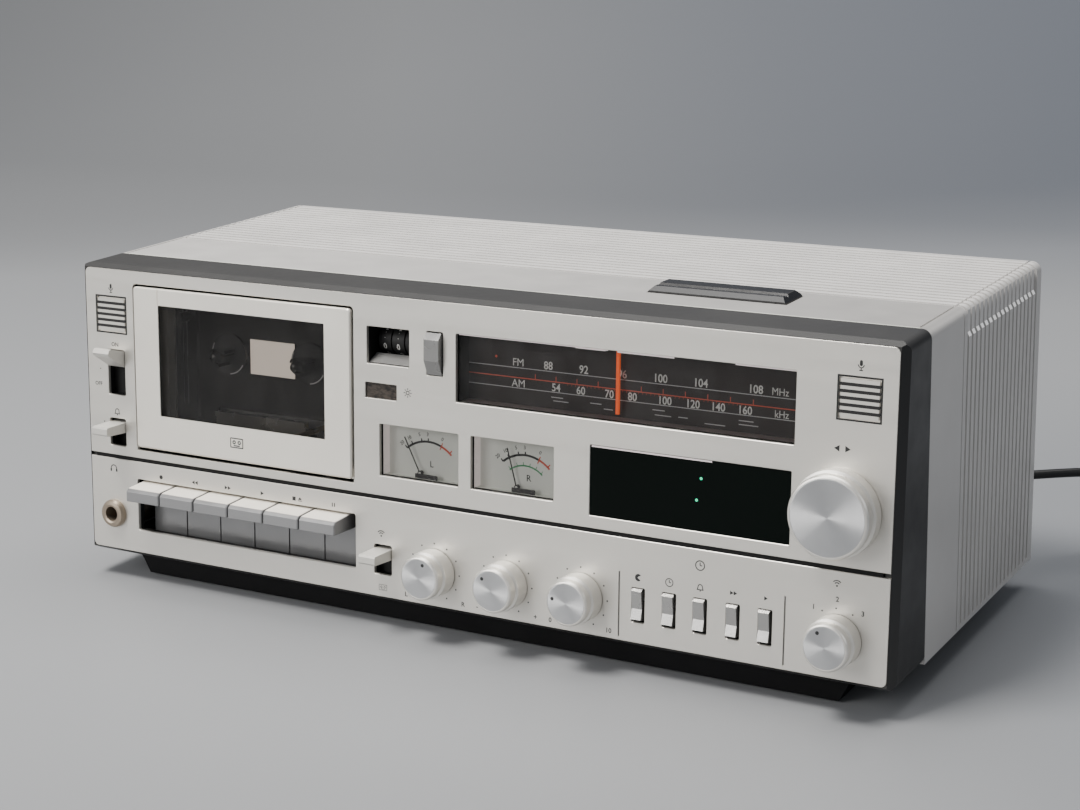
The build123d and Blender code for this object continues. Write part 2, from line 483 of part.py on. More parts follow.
put("tuning_knob", tk)

# ---------------------------------------------------------------- slide switch levers
for name, rect, v, kind in (("power_switch_lever", POWER, 87.0, "wedge"), ("alarm_switch_lever", ALARM, 55.9, "tongue"),
                            ("function_switch_lever", FUNCTION, 18.6, "tongue")):
    u0, u1 = rect[0] + 0.35, rect[1] - 0.35
    if kind == "wedge":
        pts = [(8.0, v - 4.6), (0.0, v - 4.0), (-8.4, v + 1.3), (-9.6, v + 1.9), (-10.2, v + 3.2), (-9.6, v + 4.6), (-8.2, v + 5.1), (0.0, v + 3.0), (8.0, v + 2.6)]
    else:
        pts = [(8.0, v - 2.3), (0.0, v - 2.3), (-11.5, v - 1.9), (-12.0, v - 1.2), (-12.0, v + 1.2), (-11.4, v + 1.9), (0.0, v + 2.2), (8.0, v + 2.2)]
    lev = prof_x(pts, X(u0), X(u1))
    # a shield behind the plate hides the slot over the lever's whole travel
    low, high, deep = {"power_switch_lever": (69.8, 99.2, 5.0), "alarm_switch_lever": (45.2, 65.3, 6.6),
                       "function_switch_lever": (8.3, 28.8, 5.0)}[name]
    lev += bu(rect[0] - 1.3, rect[1] + 1.3, deep, deep + 1.0, low, high)
    put(name, lev)

# ---------------------------------------------------------------- clock buttons
for name, (u0, u1) in BUTTONS.items():
    a, b = BUTTON_V[0] + 1.0, BUTTON_V[1] - 0.3
    p = prof_x([(8.2, a), (0.0, a), (-1.2, a + 0.5), (-0.2, a + 4.6), (-1.2, b - 0.9), (0.2, b), (8.2, b)], X(u0) + 0.3, X(u1) - 1.0)
    p += bu(u0 - 0.9, u1 + 0.9, 6.6, 7.8, a - 1.2, b + 1.2)
    put(name, p)

# ---------------------------------------------------------------- headphone jack
jk = turned([(JACK_BORE_R, -2.6), (4.2, -2.9), (5.6, -2.6), (6.2, -1.6), (6.2, 0.0), (5.4, 0.0), (5.4, SUB_Y), (7.2, SUB_Y), (7.2, 24.0), (0, 24.0), (0, -2.6 + JACK_BORE_LEN),
             (JACK_BORE_R, -2.6 + JACK_BORE_LEN)], X(JACK[0]), JACK[1])
put("headphone_jack", jk)

# ---------------------------------------------------------------- snooze bar
sb0, sb1, sb2, sb3 = sx0 + 0.5, sx1 - 0.5, sy0 + 0.45, sy1 - 0.45
bar = prof_x([(sb2, 130.6), (sb2, 136.8), (sb2 + 2.3, 138.4), (sb2 + 4.6, 138.4), (sb2 + 5.3, 137.8), (sb2 + 6.3, 137.8),
              (sb2 + 7.0, 138.8), (sb3 - 1.8, 138.8), (sb3, 137.2), (sb3, 130.6)], sb0, sb1)
bar -= prof_y([(sb0 - 1, 135.4), (sb0 - 1, 142), (sb0 + 2.6, 142), (sb0 + 2.2, 138.6)], 40, 80)
bar -= prof_y([(sb1 + 1, 135.4), (sb1 + 1, 142), (sb1 - 2.6, 142), (sb1 - 2.2, 138.6)], 40, 80)
bar += bx(sb0 - 2.5, sb1 + 2.5, sb2 - 2.0, sb3 + 2.0, 129.6, 130.9)
put("snooze_bar", bar, False)

# ---------------------------------------------------------------- circuit boards and what is soldered to them
brd = []
b1 = bu(150.0, 370.0, 17.2, 18.8, 4.5, 40.0)
for u, v in KNOBS.values():
    b1 += cy(X(u), v, 8.0, 9.0, 17.4)
    b1 -= cy(X(u), v, 3.05, 5.0, 15.2)
for u0, u1 in BUTTONS.values():
    b1 += bu(u0 - 0.2, u1 + 0.2, 11.6, 17.4, 11.0, 19.0)
brd.append(front(b1))
gang = bu(338.5, 368.0, 21.0, 46.0, 50.0, 78.0) + cy(X(TUNING[0]), TUNING[1], 6.0, 9.0, 21.2)
gang -= cy(X(TUNING[0]), TUNING[1], 3.05, 5.0, 27.0)
brd.append(front(gang))
brd.append(front(bu(254.0, 333.0, 4.4, 14.0, 49.5, 75.0)))
b2 = bx(-70, 182, 52, 79, 13.6, 15.2) + bx(-70, -66, 52, 79, 9.3, 13.8) + bx(178, 182, 52, 79, 9.3, 13.8)
b2 += bx(-40, -18, 56, 74, 15.0, 32.0) + bx(20, 44, 58, 76, 15.0, 30.0) + bx(90, 130, 70, 73, 15.0, 44.0)
for x, y, r, h in ((0, 62, 6, 36), (62, 66, 8, 44), (78, 60, 5, 28), (146, 62, 8, 40), (-56, 64, 5, 26)):
    b2 += cz(x, y, r, 15.0, h)
brd.append(b2)
put_group("circuit_boards", brd, False)

tr = bx(-28, 28, 112, 132, 12.0, 56.0) + bx(-20, 20, 102, 142, 20.0, 48.0) + bx(-34, 34, 114, 130, 9.3, 12.2)
put("transformer", tr, False)
spk = []
for x, y in SPEAKERS:
    s = turned([(38.0, 0), (38.0, 2.0), (33.5, 2.2), (20.0, 16.0), (20.0, 20.0), (17.0, 20.0), (17.0, 30.0), (0, 30.0), (0, 11.0), (9.0, 14.5), (32.5, 1.6), (33.0, 0)], 0, 0)
    spk.append(Pos(x, y, 9.4) * Rot(90, 0, 0) * s)
put_group("speakers", spk, False)

# ---------------------------------------------------------------- mains cord
put("strain_relief", turned([(CORD_R, 160.0), (3.9, 160.0), (3.9, 164.5), (5.6, 164.5), (5.6, 166.0), (4.3, 166.6), (3.0, CORD_Y0), (CORD_R, CORD_Y0)], CORD_X, CORD_Z)
    + cy(CORD_X, CORD_Z, CORD_R + 0.2, 160.0, CORD_Y0), False)
ROUTE = [(168.4, 175.0, 39.3), (168.4, 180.8, 39.3), (172.8, 190.2, 39.3), (180.9, 197.0, 39.3), (190.4, 204.2, 39.3), (202.4, 213.9, 38.8),
         (215.0, 224.2, 31.2), (229.0, 235.4, 17.0), (245.5, 247.5, 5.4), (262.0, 249.0, 2.02), (276.0, 241.0, 2.0)]


def arcs(route):
    out = []
    for a, b, c in zip(route, route[1:], route[2:]):
        p, q = Vector(*b) - Vector(*a), Vector(*c) - Vector(*b)
        before = p.length * (1.8 if a == route[0] else 1.0)
        turn = math.radians(p.get_angle(q))
        out.append(0.46 * min(before, q.length) / math.tan(turn / 2))
    return out


RADII = arcs(ROUTE)
path = FilletPolyline(*ROUTE, radius=RADII)
first = Vector(*ROUTE[1]) - Vector(*ROUTE[0])
tube = sweep(Plane(origin=ROUTE[0], z_dir=first) * Circle(CORD_R), path=path)
print("cord radii", [round(r, 1) for r in RADII], "tube length", round(path.length, 1), "volume", round(tube.volume, 1),
      "section x length", round(math.pi * CORD_R ** 2 * path.length, 1))
put("mains_cord", tube, False, 0)

COIL_R, COIL_W, COIL_H = 22.5, 14.5, 12.4
COIL_X, COIL_Y = 262.2, 216.9
ring = cz(COIL_X, COIL_Y, COIL_R + COIL_W / 2, 0.0, COIL_H) - cz(COIL_X, COIL_Y, COIL_R - COIL_W / 2, -1, COIL_H + 1)
put("cord_coil", ring, False, 0)

# The plug lies beside the coil, with its sleeve running off the outermost turn.
LEAVE = math.radians(20.0)
leave_dir = (math.sin(LEAVE), -math.cos(LEAVE))
turn_r = COIL_R + COIL_W / 2 - CORD_R
PLUG_X = COIL_X + turn_r * math.cos(LEAVE) + 40.0 * leave_dir[0]
PLUG_Y = COIL_Y + turn_r * math.sin(LEAVE) + 40.0 * leave_dir[1]
plug = bx(-7.0, 7.0, -17.5, 17.5, 0.0, 13.6)
plug = fillet(plug.edges().filter_by(Axis.Y), 4.0)
plug += cy(-4.6, 6.8, 2.0, 17.3, 36.0) + cy(4.6, 6.8, 2.0, 17.3, 36.0)
plug += turned([(0, -40.0), (2.7, -40.0), (4.2, -17.0), (0, -17.0)], 0, 6.8)
put("mains_plug", Pos(PLUG_X, PLUG_Y, 0) * Rot(0, 0, 180 + math.degrees(LEAVE)) * plug, False, 0)
print("plug at", round(PLUG_X, 2), round(PLUG_Y, 2), "coil at", COIL_X, COIL_Y)

# ---------------------------------------------------------------- write
CORD_NODES = ("strain_relief", "mains_cord", "cord_coil", "mains_plug")
lo, hi = [1e9] * 3, [-1e9] * 3
for name, shape in nodes.items():
    export_step(shape, "parts/%s.step" % name)
    if name not in CORD_NODES:
        b = shape.bounding_box()
        lo = [min(lo[0], b.min.X), min(lo[1], b.min.Y), min(lo[2], b.min.Z)]
        hi = [max(hi[0], b.max.X), max(hi[1], b.max.Y), max(hi[2], b.max.Z)]
print(len(nodes), "nodes, box without the cord", [round(v, 2) for v in lo], [round(v, 2) for v in hi],
      "y middle", round((lo[1] + hi[1]) / 2, 3))
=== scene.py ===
import math

import bmesh
import bpy
from mathutils import Matrix, Vector


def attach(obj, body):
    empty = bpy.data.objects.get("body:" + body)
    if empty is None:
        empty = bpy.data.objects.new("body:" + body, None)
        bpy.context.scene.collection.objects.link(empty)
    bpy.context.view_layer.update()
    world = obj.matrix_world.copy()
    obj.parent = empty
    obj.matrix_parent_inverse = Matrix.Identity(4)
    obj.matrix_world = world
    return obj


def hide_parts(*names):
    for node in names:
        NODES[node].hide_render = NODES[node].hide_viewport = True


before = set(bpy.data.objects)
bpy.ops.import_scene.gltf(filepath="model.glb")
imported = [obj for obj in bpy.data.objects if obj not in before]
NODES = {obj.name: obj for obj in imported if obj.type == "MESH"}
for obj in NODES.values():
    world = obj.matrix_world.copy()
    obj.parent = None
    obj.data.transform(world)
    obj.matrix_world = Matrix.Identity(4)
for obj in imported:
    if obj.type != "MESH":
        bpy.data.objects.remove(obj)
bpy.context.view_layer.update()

LEAN = math.radians(4.0)
CL, SL = math.cos(LEAN), math.sin(LEAN)
# from the fascia's own millimetres (x from its middle, depth behind its face, height up it) to the row frame
FRONT = Matrix(((1e-3, 0, 0, 0), (0, CL * 1e-3, SL * 1e-3, -0.077488), (0, -SL * 1e-3, CL * 1e-3, 0.0138), (0, 0, 0, 1)))
TABLE = Matrix(((1e-3, 0, 0, 0), (0, 1e-3, 0, -0.077488), (0, 0, 1e-3, 0), (0, 0, 0, 1)))
BODY = Matrix(((1e-3, 0, 0, 0), (0, 1e-3, 0, -0.077488), (0, 0, 1e-3, 0.0048), (0, 0, 0, 1)))

# ---------------------------------------------------------------- camera
cam_data = bpy.data.cameras.new("camera")
cam_data.lens = 69.926
cam_data.sensor_width = 36.0
cam_data.sensor_fit = "HORIZONTAL"
cam_data.clip_start = 0.01
cam_data.clip_end = 20.0
cam = bpy.data.objects.new("camera", cam_data)
bpy.context.scene.collection.objects.link(cam)
right = Vector((0.8684764, 0.4950749, -0.0254868))
up = Vector((-0.1080528, 0.2392250, 0.9649332))
back = Vector((0.4838112, -0.8352678, 0.2612555))
cam.matrix_world = Matrix(((right.x, up.x, back.x, 0.4352), (right.y, up.y, back.y, -0.750244), (right.z, up.z, back.z, 0.315189), (0, 0, 0, 1)))
bpy.context.scene.camera = cam


# ---------------------------------------------------------------- materials
class Mat:
    """A node material that is built up a step at a time."""

    def __init__(self, name, color=(0.8, 0.8, 0.8), rough=0.5, metal=0.0, spec=0.5, coat=0.0, coat_rough=0.1, ior=1.45):
        self.m = bpy.data.materials.new(name)
        self.m.use_nodes = True
        self.nt = self.m.node_tree
        self.p = self.nt.nodes["Principled BSDF"]
        self.p.inputs["Base Color"].default_value = (*color, 1)
        self.p.inputs["Roughness"].default_value = rough
        self.p.inputs["Metallic"].default_value = metal
        self.p.inputs["Specular IOR Level"].default_value = spec
        self.p.inputs["Coat Weight"].default_value = coat
        self.p.inputs["Coat Roughness"].default_value = coat_rough
        self.p.inputs["IOR"].default_value = ior
        self.color = color
        self.rough = rough
        self.height = None
        self.m.diffuse_color = (*color, 1)

    def node(self, kind, **props):
        n = self.nt.nodes.new(kind)
        for k, v in props.items():
            setattr(n, k, v)
        return n

    def link(self, a, b):
        self.nt.links.new(a, b)

    def coords(self, scale=(1, 1, 1), lean=False):
        tc = self.node("ShaderNodeTexCoord")
        mp = self.node("ShaderNodeMapping")
        mp.inputs["Scale"].default_value = scale
        if lean:
            mp.inputs["Rotation"].default_value = (LEAN, 0, 0)
        self.link(tc.outputs["Object"], mp.inputs["Vector"])
        return mp.outputs["Vector"]

    def noise(self, scale, detail=3.0, rough=0.55, stretch=(1, 1, 1), lean=False):
        n = self.node("ShaderNodeTexNoise")
        n.inputs["Scale"].default_value = scale
        n.inputs["Detail"].default_value = detail
        n.inputs["Roughness"].default_value = rough
        self.link(self.coords(stretch, lean), n.inputs["Vector"])
        return n.outputs["Fac"]

    def ramp(self, fac, stops):
        r = self.node("ShaderNodeValToRGB")
        e = r.color_ramp.elements
        while len(e) < len(stops):
            e.new(0.5)
        for el, (pos, col) in zip(e, stops):
            el.position = pos
            el.color = (*col, 1) if not isinstance(col, (int, float)) else (col, col, col, 1)
        self.link(fac, r.inputs["Fac"])
        return r.outputs["Color"]

    def tint(self, fac, amount=0.06, low=0.35, high=0.65):
        """Colour varies by a few percent with fac."""
        c = self.color
        a = tuple(max(0.0, v * (1 - amount)) for v in c)
        b = tuple(min(1.0, v * (1 + amount)) for v in c)
        self.link(self.ramp(fac, [(low, a), (high, b)]), self.p.inputs["Base Color"])
        return self

    def vary_rough(self, fac, amount=0.08, low=0.3, high=0.7):
        r = self.node("ShaderNodeMapRange")
        r.inputs["From Min"].default_value = low
        r.inputs["From Max"].default_value = high
        r.inputs["To Min"].default_value = max(0.0, self.rough - amount)
        r.inputs["To Max"].default_value = min(1.0, self.rough + amount)
        self.link(fac, r.inputs["Value"])
        self.link(r.outputs["Result"], self.p.inputs["Roughness"])
        return self

    def bump(self, fac, strength=0.2, dist=0.0002):
        b = self.node("ShaderNodeBump")
        b.inputs["Strength"].default_value = strength
        b.inputs["Distance"].default_value = dist
        self.link(fac, b.inputs["Height"])
        if self.height is not None:
            self.link(self.height, b.inputs["Normal"])
        self.height = b.outputs["Normal"]
        self.link(self.height, self.p.inputs["Normal"])
        return self


def plastic(name, color, rough, grain=900.0, bump=0.12, amount=0.05, **kw):
    m = Mat(name, color, rough, **kw)
    m.tint(m.noise(14.0, 4), amount)
    m.vary_rough(m.noise(55.0, 3), 0.06)
    m.bump(m.noise(grain, 2), bump, 0.0001)
    return m


def clear(name, tint=(0.9, 0.92, 0.92), cover=0.1, rough=0.03, shine=1.0):
    """Thin clear plastic: mostly see-through, with a mirror-like film that grows towards the edges."""
    m = Mat(name, tint, rough, spec=0.5)
    nt = m.nt
    out = nt.nodes["Material Output"]
    tr = m.node("ShaderNodeBsdfTransparent")
    tr.inputs["Color"].default_value = (*tint, 1)
    body = m.node("ShaderNodeMixShader")
    dust = m.noise(120.0, 4)
    r = m.node("ShaderNodeMapRange")
    r.inputs["From Min"].default_value = 0.35
    r.inputs["From Max"].default_value = 0.75
    r.inputs["To Min"].default_value = cover
    r.inputs["To Max"].default_value = min(1.0, cover * 1.6 + 0.01)
    m.link(dust, r.inputs["Value"])
    m.link(r.outputs["Result"], body.inputs["Fac"])
    m.link(tr.outputs[0], body.inputs[1])
    m.link(m.p.outputs[0], body.inputs[2])
    gl = m.node("ShaderNodeBsdfGlossy")
    gl.inputs["Roughness"].default_value = rough
    gl.inputs["Color"].default_value = (shine, shine, shine, 1)
    fr = m.node("ShaderNodeFresnel")
    fr.inputs["IOR"].default_value = 1.45
    film = m.node("ShaderNodeMixShader")
    m.link(fr.outputs[0], film.inputs["Fac"])
    m.link(body.outputs[0], film.inputs[1])
    m.link(gl.outputs[0], film.inputs[2])
    m.link(film.outputs[0], out.inputs["Surface"])
    return m


M = {}
# satin aluminium: fine grain, faint sideways brushing
m = Mat("fascia_satin_aluminium", (0.70, 0.678, 0.63), 0.40, metal=0.78, spec=0.5)
m.tint(m.noise(9.0, 3), 0.025)
m.vary_rough(m.noise(160.0, 3, stretch=(0.06, 1, 1)), 0.05)
m.bump(m.noise(2600.0, 2, stretch=(0.05, 1, 1)), 0.05, 0.00004)
m.bump(m.noise(1500.0, 2), 0.05, 0.00004)
M["fascia"] = m
m = Mat("knob_turned_aluminium", (0.84, 0.815, 0.76), 0.34, metal=0.80)
m.tint(m.noise(30.0, 3), 0.012)
m.vary_rough(m.noise(30.0, 2), 0.012)
M["knob"] = m
m = Mat("knob_spun_face", (0.60, 0.605, 0.61), 0.36, metal=1.0)
m.p.inputs["Anisotropic"].default_value = 0.82
tan = m.node("ShaderNodeTangent", direction_type="RADIAL", axis="Z")
m.link(tan.outputs["Tangent"], m.p.inputs["Tangent"])
m.tint(m.noise(60.0, 3), 0.03)
m.vary_rough(m.noise(300.0, 2), 0.03)
M["spun"] = m
m = Mat("door_champagne_metallic", (0.86, 0.825, 0.75), 0.36, metal=0.45, spec=0.5, coat=0.25, coat_rough=0.25)
m.tint(m.noise(7.0, 3), 0.02)
m.vary_rough(m.noise(60.0, 3), 0.05)
m.bump(m.noise(1800.0, 2), 0.05, 0.00004)
M["door"] = m
M["cabinet"] = plastic("cabinet_light_grey", (0.60, 0.585, 0.565), 0.42, grain=1500.0, bump=0.10, amount=0.03, metal=0.25)
M["wall_black"] = plastic("wall_black", (0.008, 0.008, 0.008), 0.6, grain=1600.0, bump=0.1, amount=0.1, spec=0.2)
m = M["cabinet"]
geo = m.node("ShaderNodeNewGeometry")
tc = m.node("ShaderNodeTexCoord")
pos = m.node("ShaderNodeSeparateXYZ")
m.link(tc.outputs["Object"], pos.inputs["Vector"])
nrm = m.node("ShaderNodeSeparateXYZ")
m.link(geo.outputs["Normal"], nrm.inputs["Vector"])


def calc(op, a, b=None, c=None, m=m):
    n = m.node("ShaderNodeMath", operation=op)
    for i, q in enumerate((a, b, c)):
        if q is None:
            continue
        if isinstance(q, (int, float)):
            n.inputs[i].default_value = q
        else:
            m.link(q, n.inputs[i])
    return n.outputs[0]


def ranged(v, a, b, lo, hi, m=m):
    r = m.node("ShaderNodeMapRange")
    for key, q in (("From Min", a), ("From Max", b), ("To Min", lo), ("To Max", hi)):
        r.inputs[key].default_value = q
    m.link(v, r.inputs["Value"])
    return r.outputs["Result"]


# painted light on the cabinet: on the top, a painted highlight on the rib crowns and painted shade in the grooves
# between them, so the ribs read a little paler than the smooth strip ahead of them, which is given painted shade darker
# towards the right; the side grooves are a little lifted by a painted glow
top = ranged(nrm.outputs["Z"], 0.75, 0.95, 0.0, 1.0)
ribs = ranged(pos.outputs["Y"], -0.0052, -0.0038, 0.0, 1.0)
strip_painted_shade = ranged(pos.outputs["X"], -0.10, 0.15, 0.92, 0.66)
wave = calc("ABSOLUTE", calc("SUBTRACT", calc("FRACT", calc("ADD", calc("DIVIDE", calc("ADD", pos.outputs["Y"], 0.003288), 0.00503), 4.0)), 0.5))
rib_crown_highlight = ranged(wave, 0.24, 0.42, 1.19, 0.84)
painted_light_gain = calc("ADD", calc("MULTIPLY", ribs, rib_crown_highlight), calc("MULTIPLY", calc("SUBTRACT", 1.0, ribs), strip_painted_shade))
painted_light_gain = calc("ADD", calc("MULTIPLY", painted_light_gain, top), calc("SUBTRACT", 1.0, top))
old = m.p.inputs["Base Color"].links[0].from_socket
sc = m.node("ShaderNodeVectorMath", operation="SCALE")
m.link(old, sc.inputs[0])
m.link(painted_light_gain, sc.inputs["Scale"])
m.link(sc.outputs["Vector"], m.p.inputs["Base Color"])
# painted light: a faint glow in the side grooves, weaker on faces turned towards the front
side_groove_painted_glow = ranged(calc("ABSOLUTE", pos.outputs["X"]), 0.1899, 0.1887, 0.0, 1.0)
side_groove_painted_glow = calc("MULTIPLY", side_groove_painted_glow, ranged(pos.outputs["Y"], -0.0052, -0.0045, 0.0, 1.0))
side_groove_painted_glow = calc("MULTIPLY", side_groove_painted_glow, ranged(nrm.outputs["Y"], -0.2, -0.8, 1.0, 0.2))
m.p.inputs["Emission Color"].default_value = (0.55, 0.56, 0.58, 1)
m.link(calc("MULTIPLY", side_groove_painted_glow, 0.085), m.p.inputs["Emission Strength"])
# painted highlight: pale glowing paint for the shoulders where the side ribs step in
M["crest"] = plastic("rib_shoulder_highlight_paint", (0.90, 0.895, 0.88), 0.35, grain=1500.0, bump=0.03, amount=0.03)
M["crest"].p.inputs["Emission Color"].default_value = (0.9, 0.9, 0.9, 1)
M["crest"].p.inputs["Emission Strength"].default_value = 0.42
M["frame"] = plastic("frame_charcoal", (0.031, 0.0305, 0.030), 0.42, grain=1600.0, bump=0.14, amount=0.08)
m = M["frame"]
geo = m.node("ShaderNodeNewGeometry")
nrm = m.node("ShaderNodeSeparateXYZ")
m.link(geo.outputs["Normal"], nrm.inputs["Vector"])
# painted shade: the frame's base colour is darkened on faces turned to the right and lightened on faces turned up
painted_light_gain = calc("MULTIPLY", ranged(nrm.outputs["X"], 0.5, 0.9, 1.0, 0.55, m=m), ranged(nrm.outputs["Z"], 0.5, 0.9, 1.0, 1.12, m=m), m=m)
old = m.p.inputs["Base Color"].links[0].from_socket
sc = m.node("ShaderNodeVectorMath", operation="SCALE")
m.link(old, sc.inputs[0])
m.link(painted_light_gain, sc.inputs["Scale"])
m.link(sc.outputs["Vector"], m.p.inputs["Base Color"])
M["black"] = plastic("plinth_black", (0.0055, 0.0055, 0.006), 0.55, grain=1200.0, bump=0.15, amount=0.1, spec=0.15)
M["well"] = plastic("well_black", (0.009, 0.0085, 0.008), 0.42, grain=1100.0, bump=0.18, amount=0.15)
M["rubber"] = plastic("rubber_black", (0.02, 0.02, 0.02), 0.75, grain=700.0, bump=0.25, amount=0.1)
M["key"] = plastic("key_silver_grey", (0.28, 0.28, 0.283), 0.34, grain=2200.0, bump=0.05, amount=0.03, metal=0.55)
M["cream"] = plastic("key_cream_inlay", (0.95, 0.90, 0.81), 0.42, grain=1500.0, bump=0.06, amount=0.03)
M["lever"] = plastic("lever_cream_grey", (0.60, 0.585, 0.545), 0.38, grain=1500.0, bump=0.06, amount=0.04, metal=0.2)
M["reset"] = plastic("reset_satin_silver", (0.27, 0.268, 0.264), 0.26, grain=1500.0, bump=0.06, amount=0.05, metal=0.7)
M["button"] = plastic("button_satin_silver", (0.385, 0.38, 0.372), 0.24, grain=1500.0, bump=0.10, amount=0.05, metal=0.75)
M["snooze"] = plastic("snooze_gloss_black", (0.008, 0.008, 0.009), 0.26, grain=900.0, bump=0.015, amount=0.1, coat=0.15, coat_rough=0.2)
M["drum"] = plastic("drum_matte_black", (0.012, 0.012, 0.012), 0.6, amount=0.1)
M["dial"] = plastic("dial_dark_brown", (0.038, 0.031, 0.0295), 0.45, grain=1500.0, bump=0.01, amount=0.08, spec=0.2)
m = plastic("meter_pale_grey", (0.80, 0.82, 0.765), 0.55, grain=1200.0, bump=0.05, amount=0.02)
m.p.inputs["Emission Color"].default_value = (0.80, 0.81, 0.74, 1)
m.p.inputs["Emission Strength"].default_value = 0.07
M["meter"] = m
M["needle"] = plastic("needle_black", (0.02, 0.02, 0.02), 0.5, amount=0.1)
M["steel"] = plastic("zinc_steel", (0.50, 0.50, 0.50), 0.33, grain=800.0, bump=0.06, amount=0.06, metal=1.0)
M["head"] = plastic("head_steel", (0.58, 0.57, 0.55), 0.25, grain=1500.0, bump=0.04, amount=0.05, metal=1.0)
M["brass"] = plastic("turned_brass", (0.58, 0.45, 0.24), 0.28, grain=1500.0, bump=0.05, amount=0.06, metal=1.0)
M["bronze"] = plastic("dull_bronze", (0.38, 0.315, 0.245), 0.36, grain=1300.0, bump=0.08, amount=0.15, metal=0.75)
M["spindle"] = plastic("spindle_black", (0.020, 0.020, 0.021), 0.14, grain=900.0, bump=0.05, amount=0.1)
M["pinch"] = plastic("pinch_rubber", (0.03, 0.027, 0.025), 0.6, amount=0.1)
M["board"] = plastic("phenolic_board", (0.24, 0.15, 0.07), 0.5, grain=500.0, bump=0.15, amount=0.15)
M["core"] = plastic("laminated_core", (0.12, 0.115, 0.11), 0.45, grain=400.0, bump=0.3, amount=0.2, metal=0.5)
M["cone"] = plastic("speaker_black", (0.03, 0.03, 0.03), 0.6, grain=300.0, bump=0.3, amount=0.2)
M["cord"] = plastic("cord_vinyl", (0.012, 0.012, 0.012), 0.38, grain=500.0, bump=0.12, amount=0.12)
m = plastic("pad_beige", (0.84, 0.76, 0.67), 0.5, grain=900.0, bump=0.08, amount=0.03)
# painted light: the pad glows to lift the shade deep in the well
m.p.inputs["Emission Color"].default_value = (0.84, 0.74, 0.64, 1)
m.p.inputs["Emission Strength"].default_value = 0.72
M["pad"] = m
# painted highlight: grey paint for lit edges of the well's mouldings and of the dial's opening
M["mould"] = plastic("grey_edge_highlight", (0.10, 0.10, 0.10), 0.30, grain=900.0, bump=0.05, amount=0.15)
# painted highlight: pale paint for the line along the cabinet's front edge
M["joint"] = plastic("front_edge_highlight_paint", (0.80, 0.82, 0.74), 0.35, grain=1500.0, bump=0.03, amount=0.05)
# painted highlight: glints drawn on the hubs' flanges
M["glint_bright"] = plastic("hub_glint", (0.60, 0.60, 0.59), 0.25, grain=900.0, bump=0.03, amount=0.1)
# painted highlight: pale paint for the brightest moulding edge in the well
M["pale_edge_highlight"] = plastic("well_edge_pale_highlight", (0.24, 0.235, 0.23), 0.30, grain=900.0, bump=0.05, amount=0.15)
M["ink"] = plastic("ink_dark", (0.02, 0.02, 0.02), 0.5, amount=0.15)
M["ink_grey"] = plastic("ink_grey", (0.16, 0.16, 0.155), 0.5, amount=0.15)
M["white"] = plastic("print_white", (0.78, 0.77, 0.74), 0.5, amount=0.04)
M["line"] = plastic("print_pale_line", (0.60, 0.585, 0.585), 0.45, amount=0.06)
M["red"] = plastic("print_red", (0.75, 0.10, 0.05), 0.5, amount=0.08)
M["green"] = plastic("print_green", (0.06, 0.36, 0.14), 0.5, amount=0.08)
M["blackout"] = plastic("blackout", (0.004, 0.004, 0.004), 0.7, amount=0.2)
# painted light: pale glowing paint for the meters' inner left walls
m = plastic("meter_wall_glow_paint", (0.86, 0.78, 0.75), 0.3, grain=1500.0, bump=0.03, amount=0.04)
m.p.inputs["Emission Color"].default_value = (0.9, 0.80, 0.78, 1)
m.p.inputs["Emission Strength"].default_value = 0.35
M["rim"] = m
# painted highlight: pale pink glowing paint for the lens edges of the dial and the display
m = plastic("lens_edge_highlight_paint", (0.85, 0.76, 0.76), 0.3, grain=1500.0, bump=0.03, amount=0.04)
m.p.inputs["Emission Color"].default_value = (0.9, 0.8, 0.79, 1)
m.p.inputs["Emission Strength"].default_value = 0.30
M["pink"] = m
M["lining"] = plastic("dial_lining_brown", (0.36, 0.265, 0.245), 0.35, grain=1500.0, bump=0.05, amount=0.1)
M["sill"] = plastic("sill_grey", (0.40, 0.395, 0.385), 0.4, grain=1200.0, bump=0.06, amount=0.05)
M["ink_black"] = plastic("ink_black", (0.012, 0.012, 0.012), 0.5, amount=0.1)
m = plastic("pointer_orange", (0.80, 0.09, 0.008), 0.35, grain=1200.0, bump=0.04, amount=0.05)
m.p.inputs["Emission Color"].default_value = (1.0, 0.12, 0.008, 1)
m.p.inputs["Emission Strength"].default_value = 0.55
M["orange"] = m
m = plastic("lit_green", (0.02, 0.55, 0.28), 0.4)
m.p.inputs["Emission Color"].default_value = (0.02, 0.80, 0.36, 1)
m.p.inputs["Emission Strength"].default_value = 0.9
M["lit"] = m
M["window"] = clear("window_smoke", (0.80, 0.79, 0.78), 0.001, 0.04, 0.21)
M["lens"] = clear("lens_clear", (0.94, 0.935, 0.93), 0.001, 0.03, 0.25)
m = plastic("display_filter_dark", (0.0018, 0.0034, 0.0027), 0.10, grain=600.0, bump=0.0, amount=0.1, spec=0.07)
M["display"] = m
m = plastic("dimmer_brown", (0.033, 0.026, 0.021), 0.14, grain=400.0, bump=0.1, amount=0.3)
m.tint(m.noise(420.0, 2, stretch=(1, 1, 2.2)), 0.75)
M["dimmer"] = m

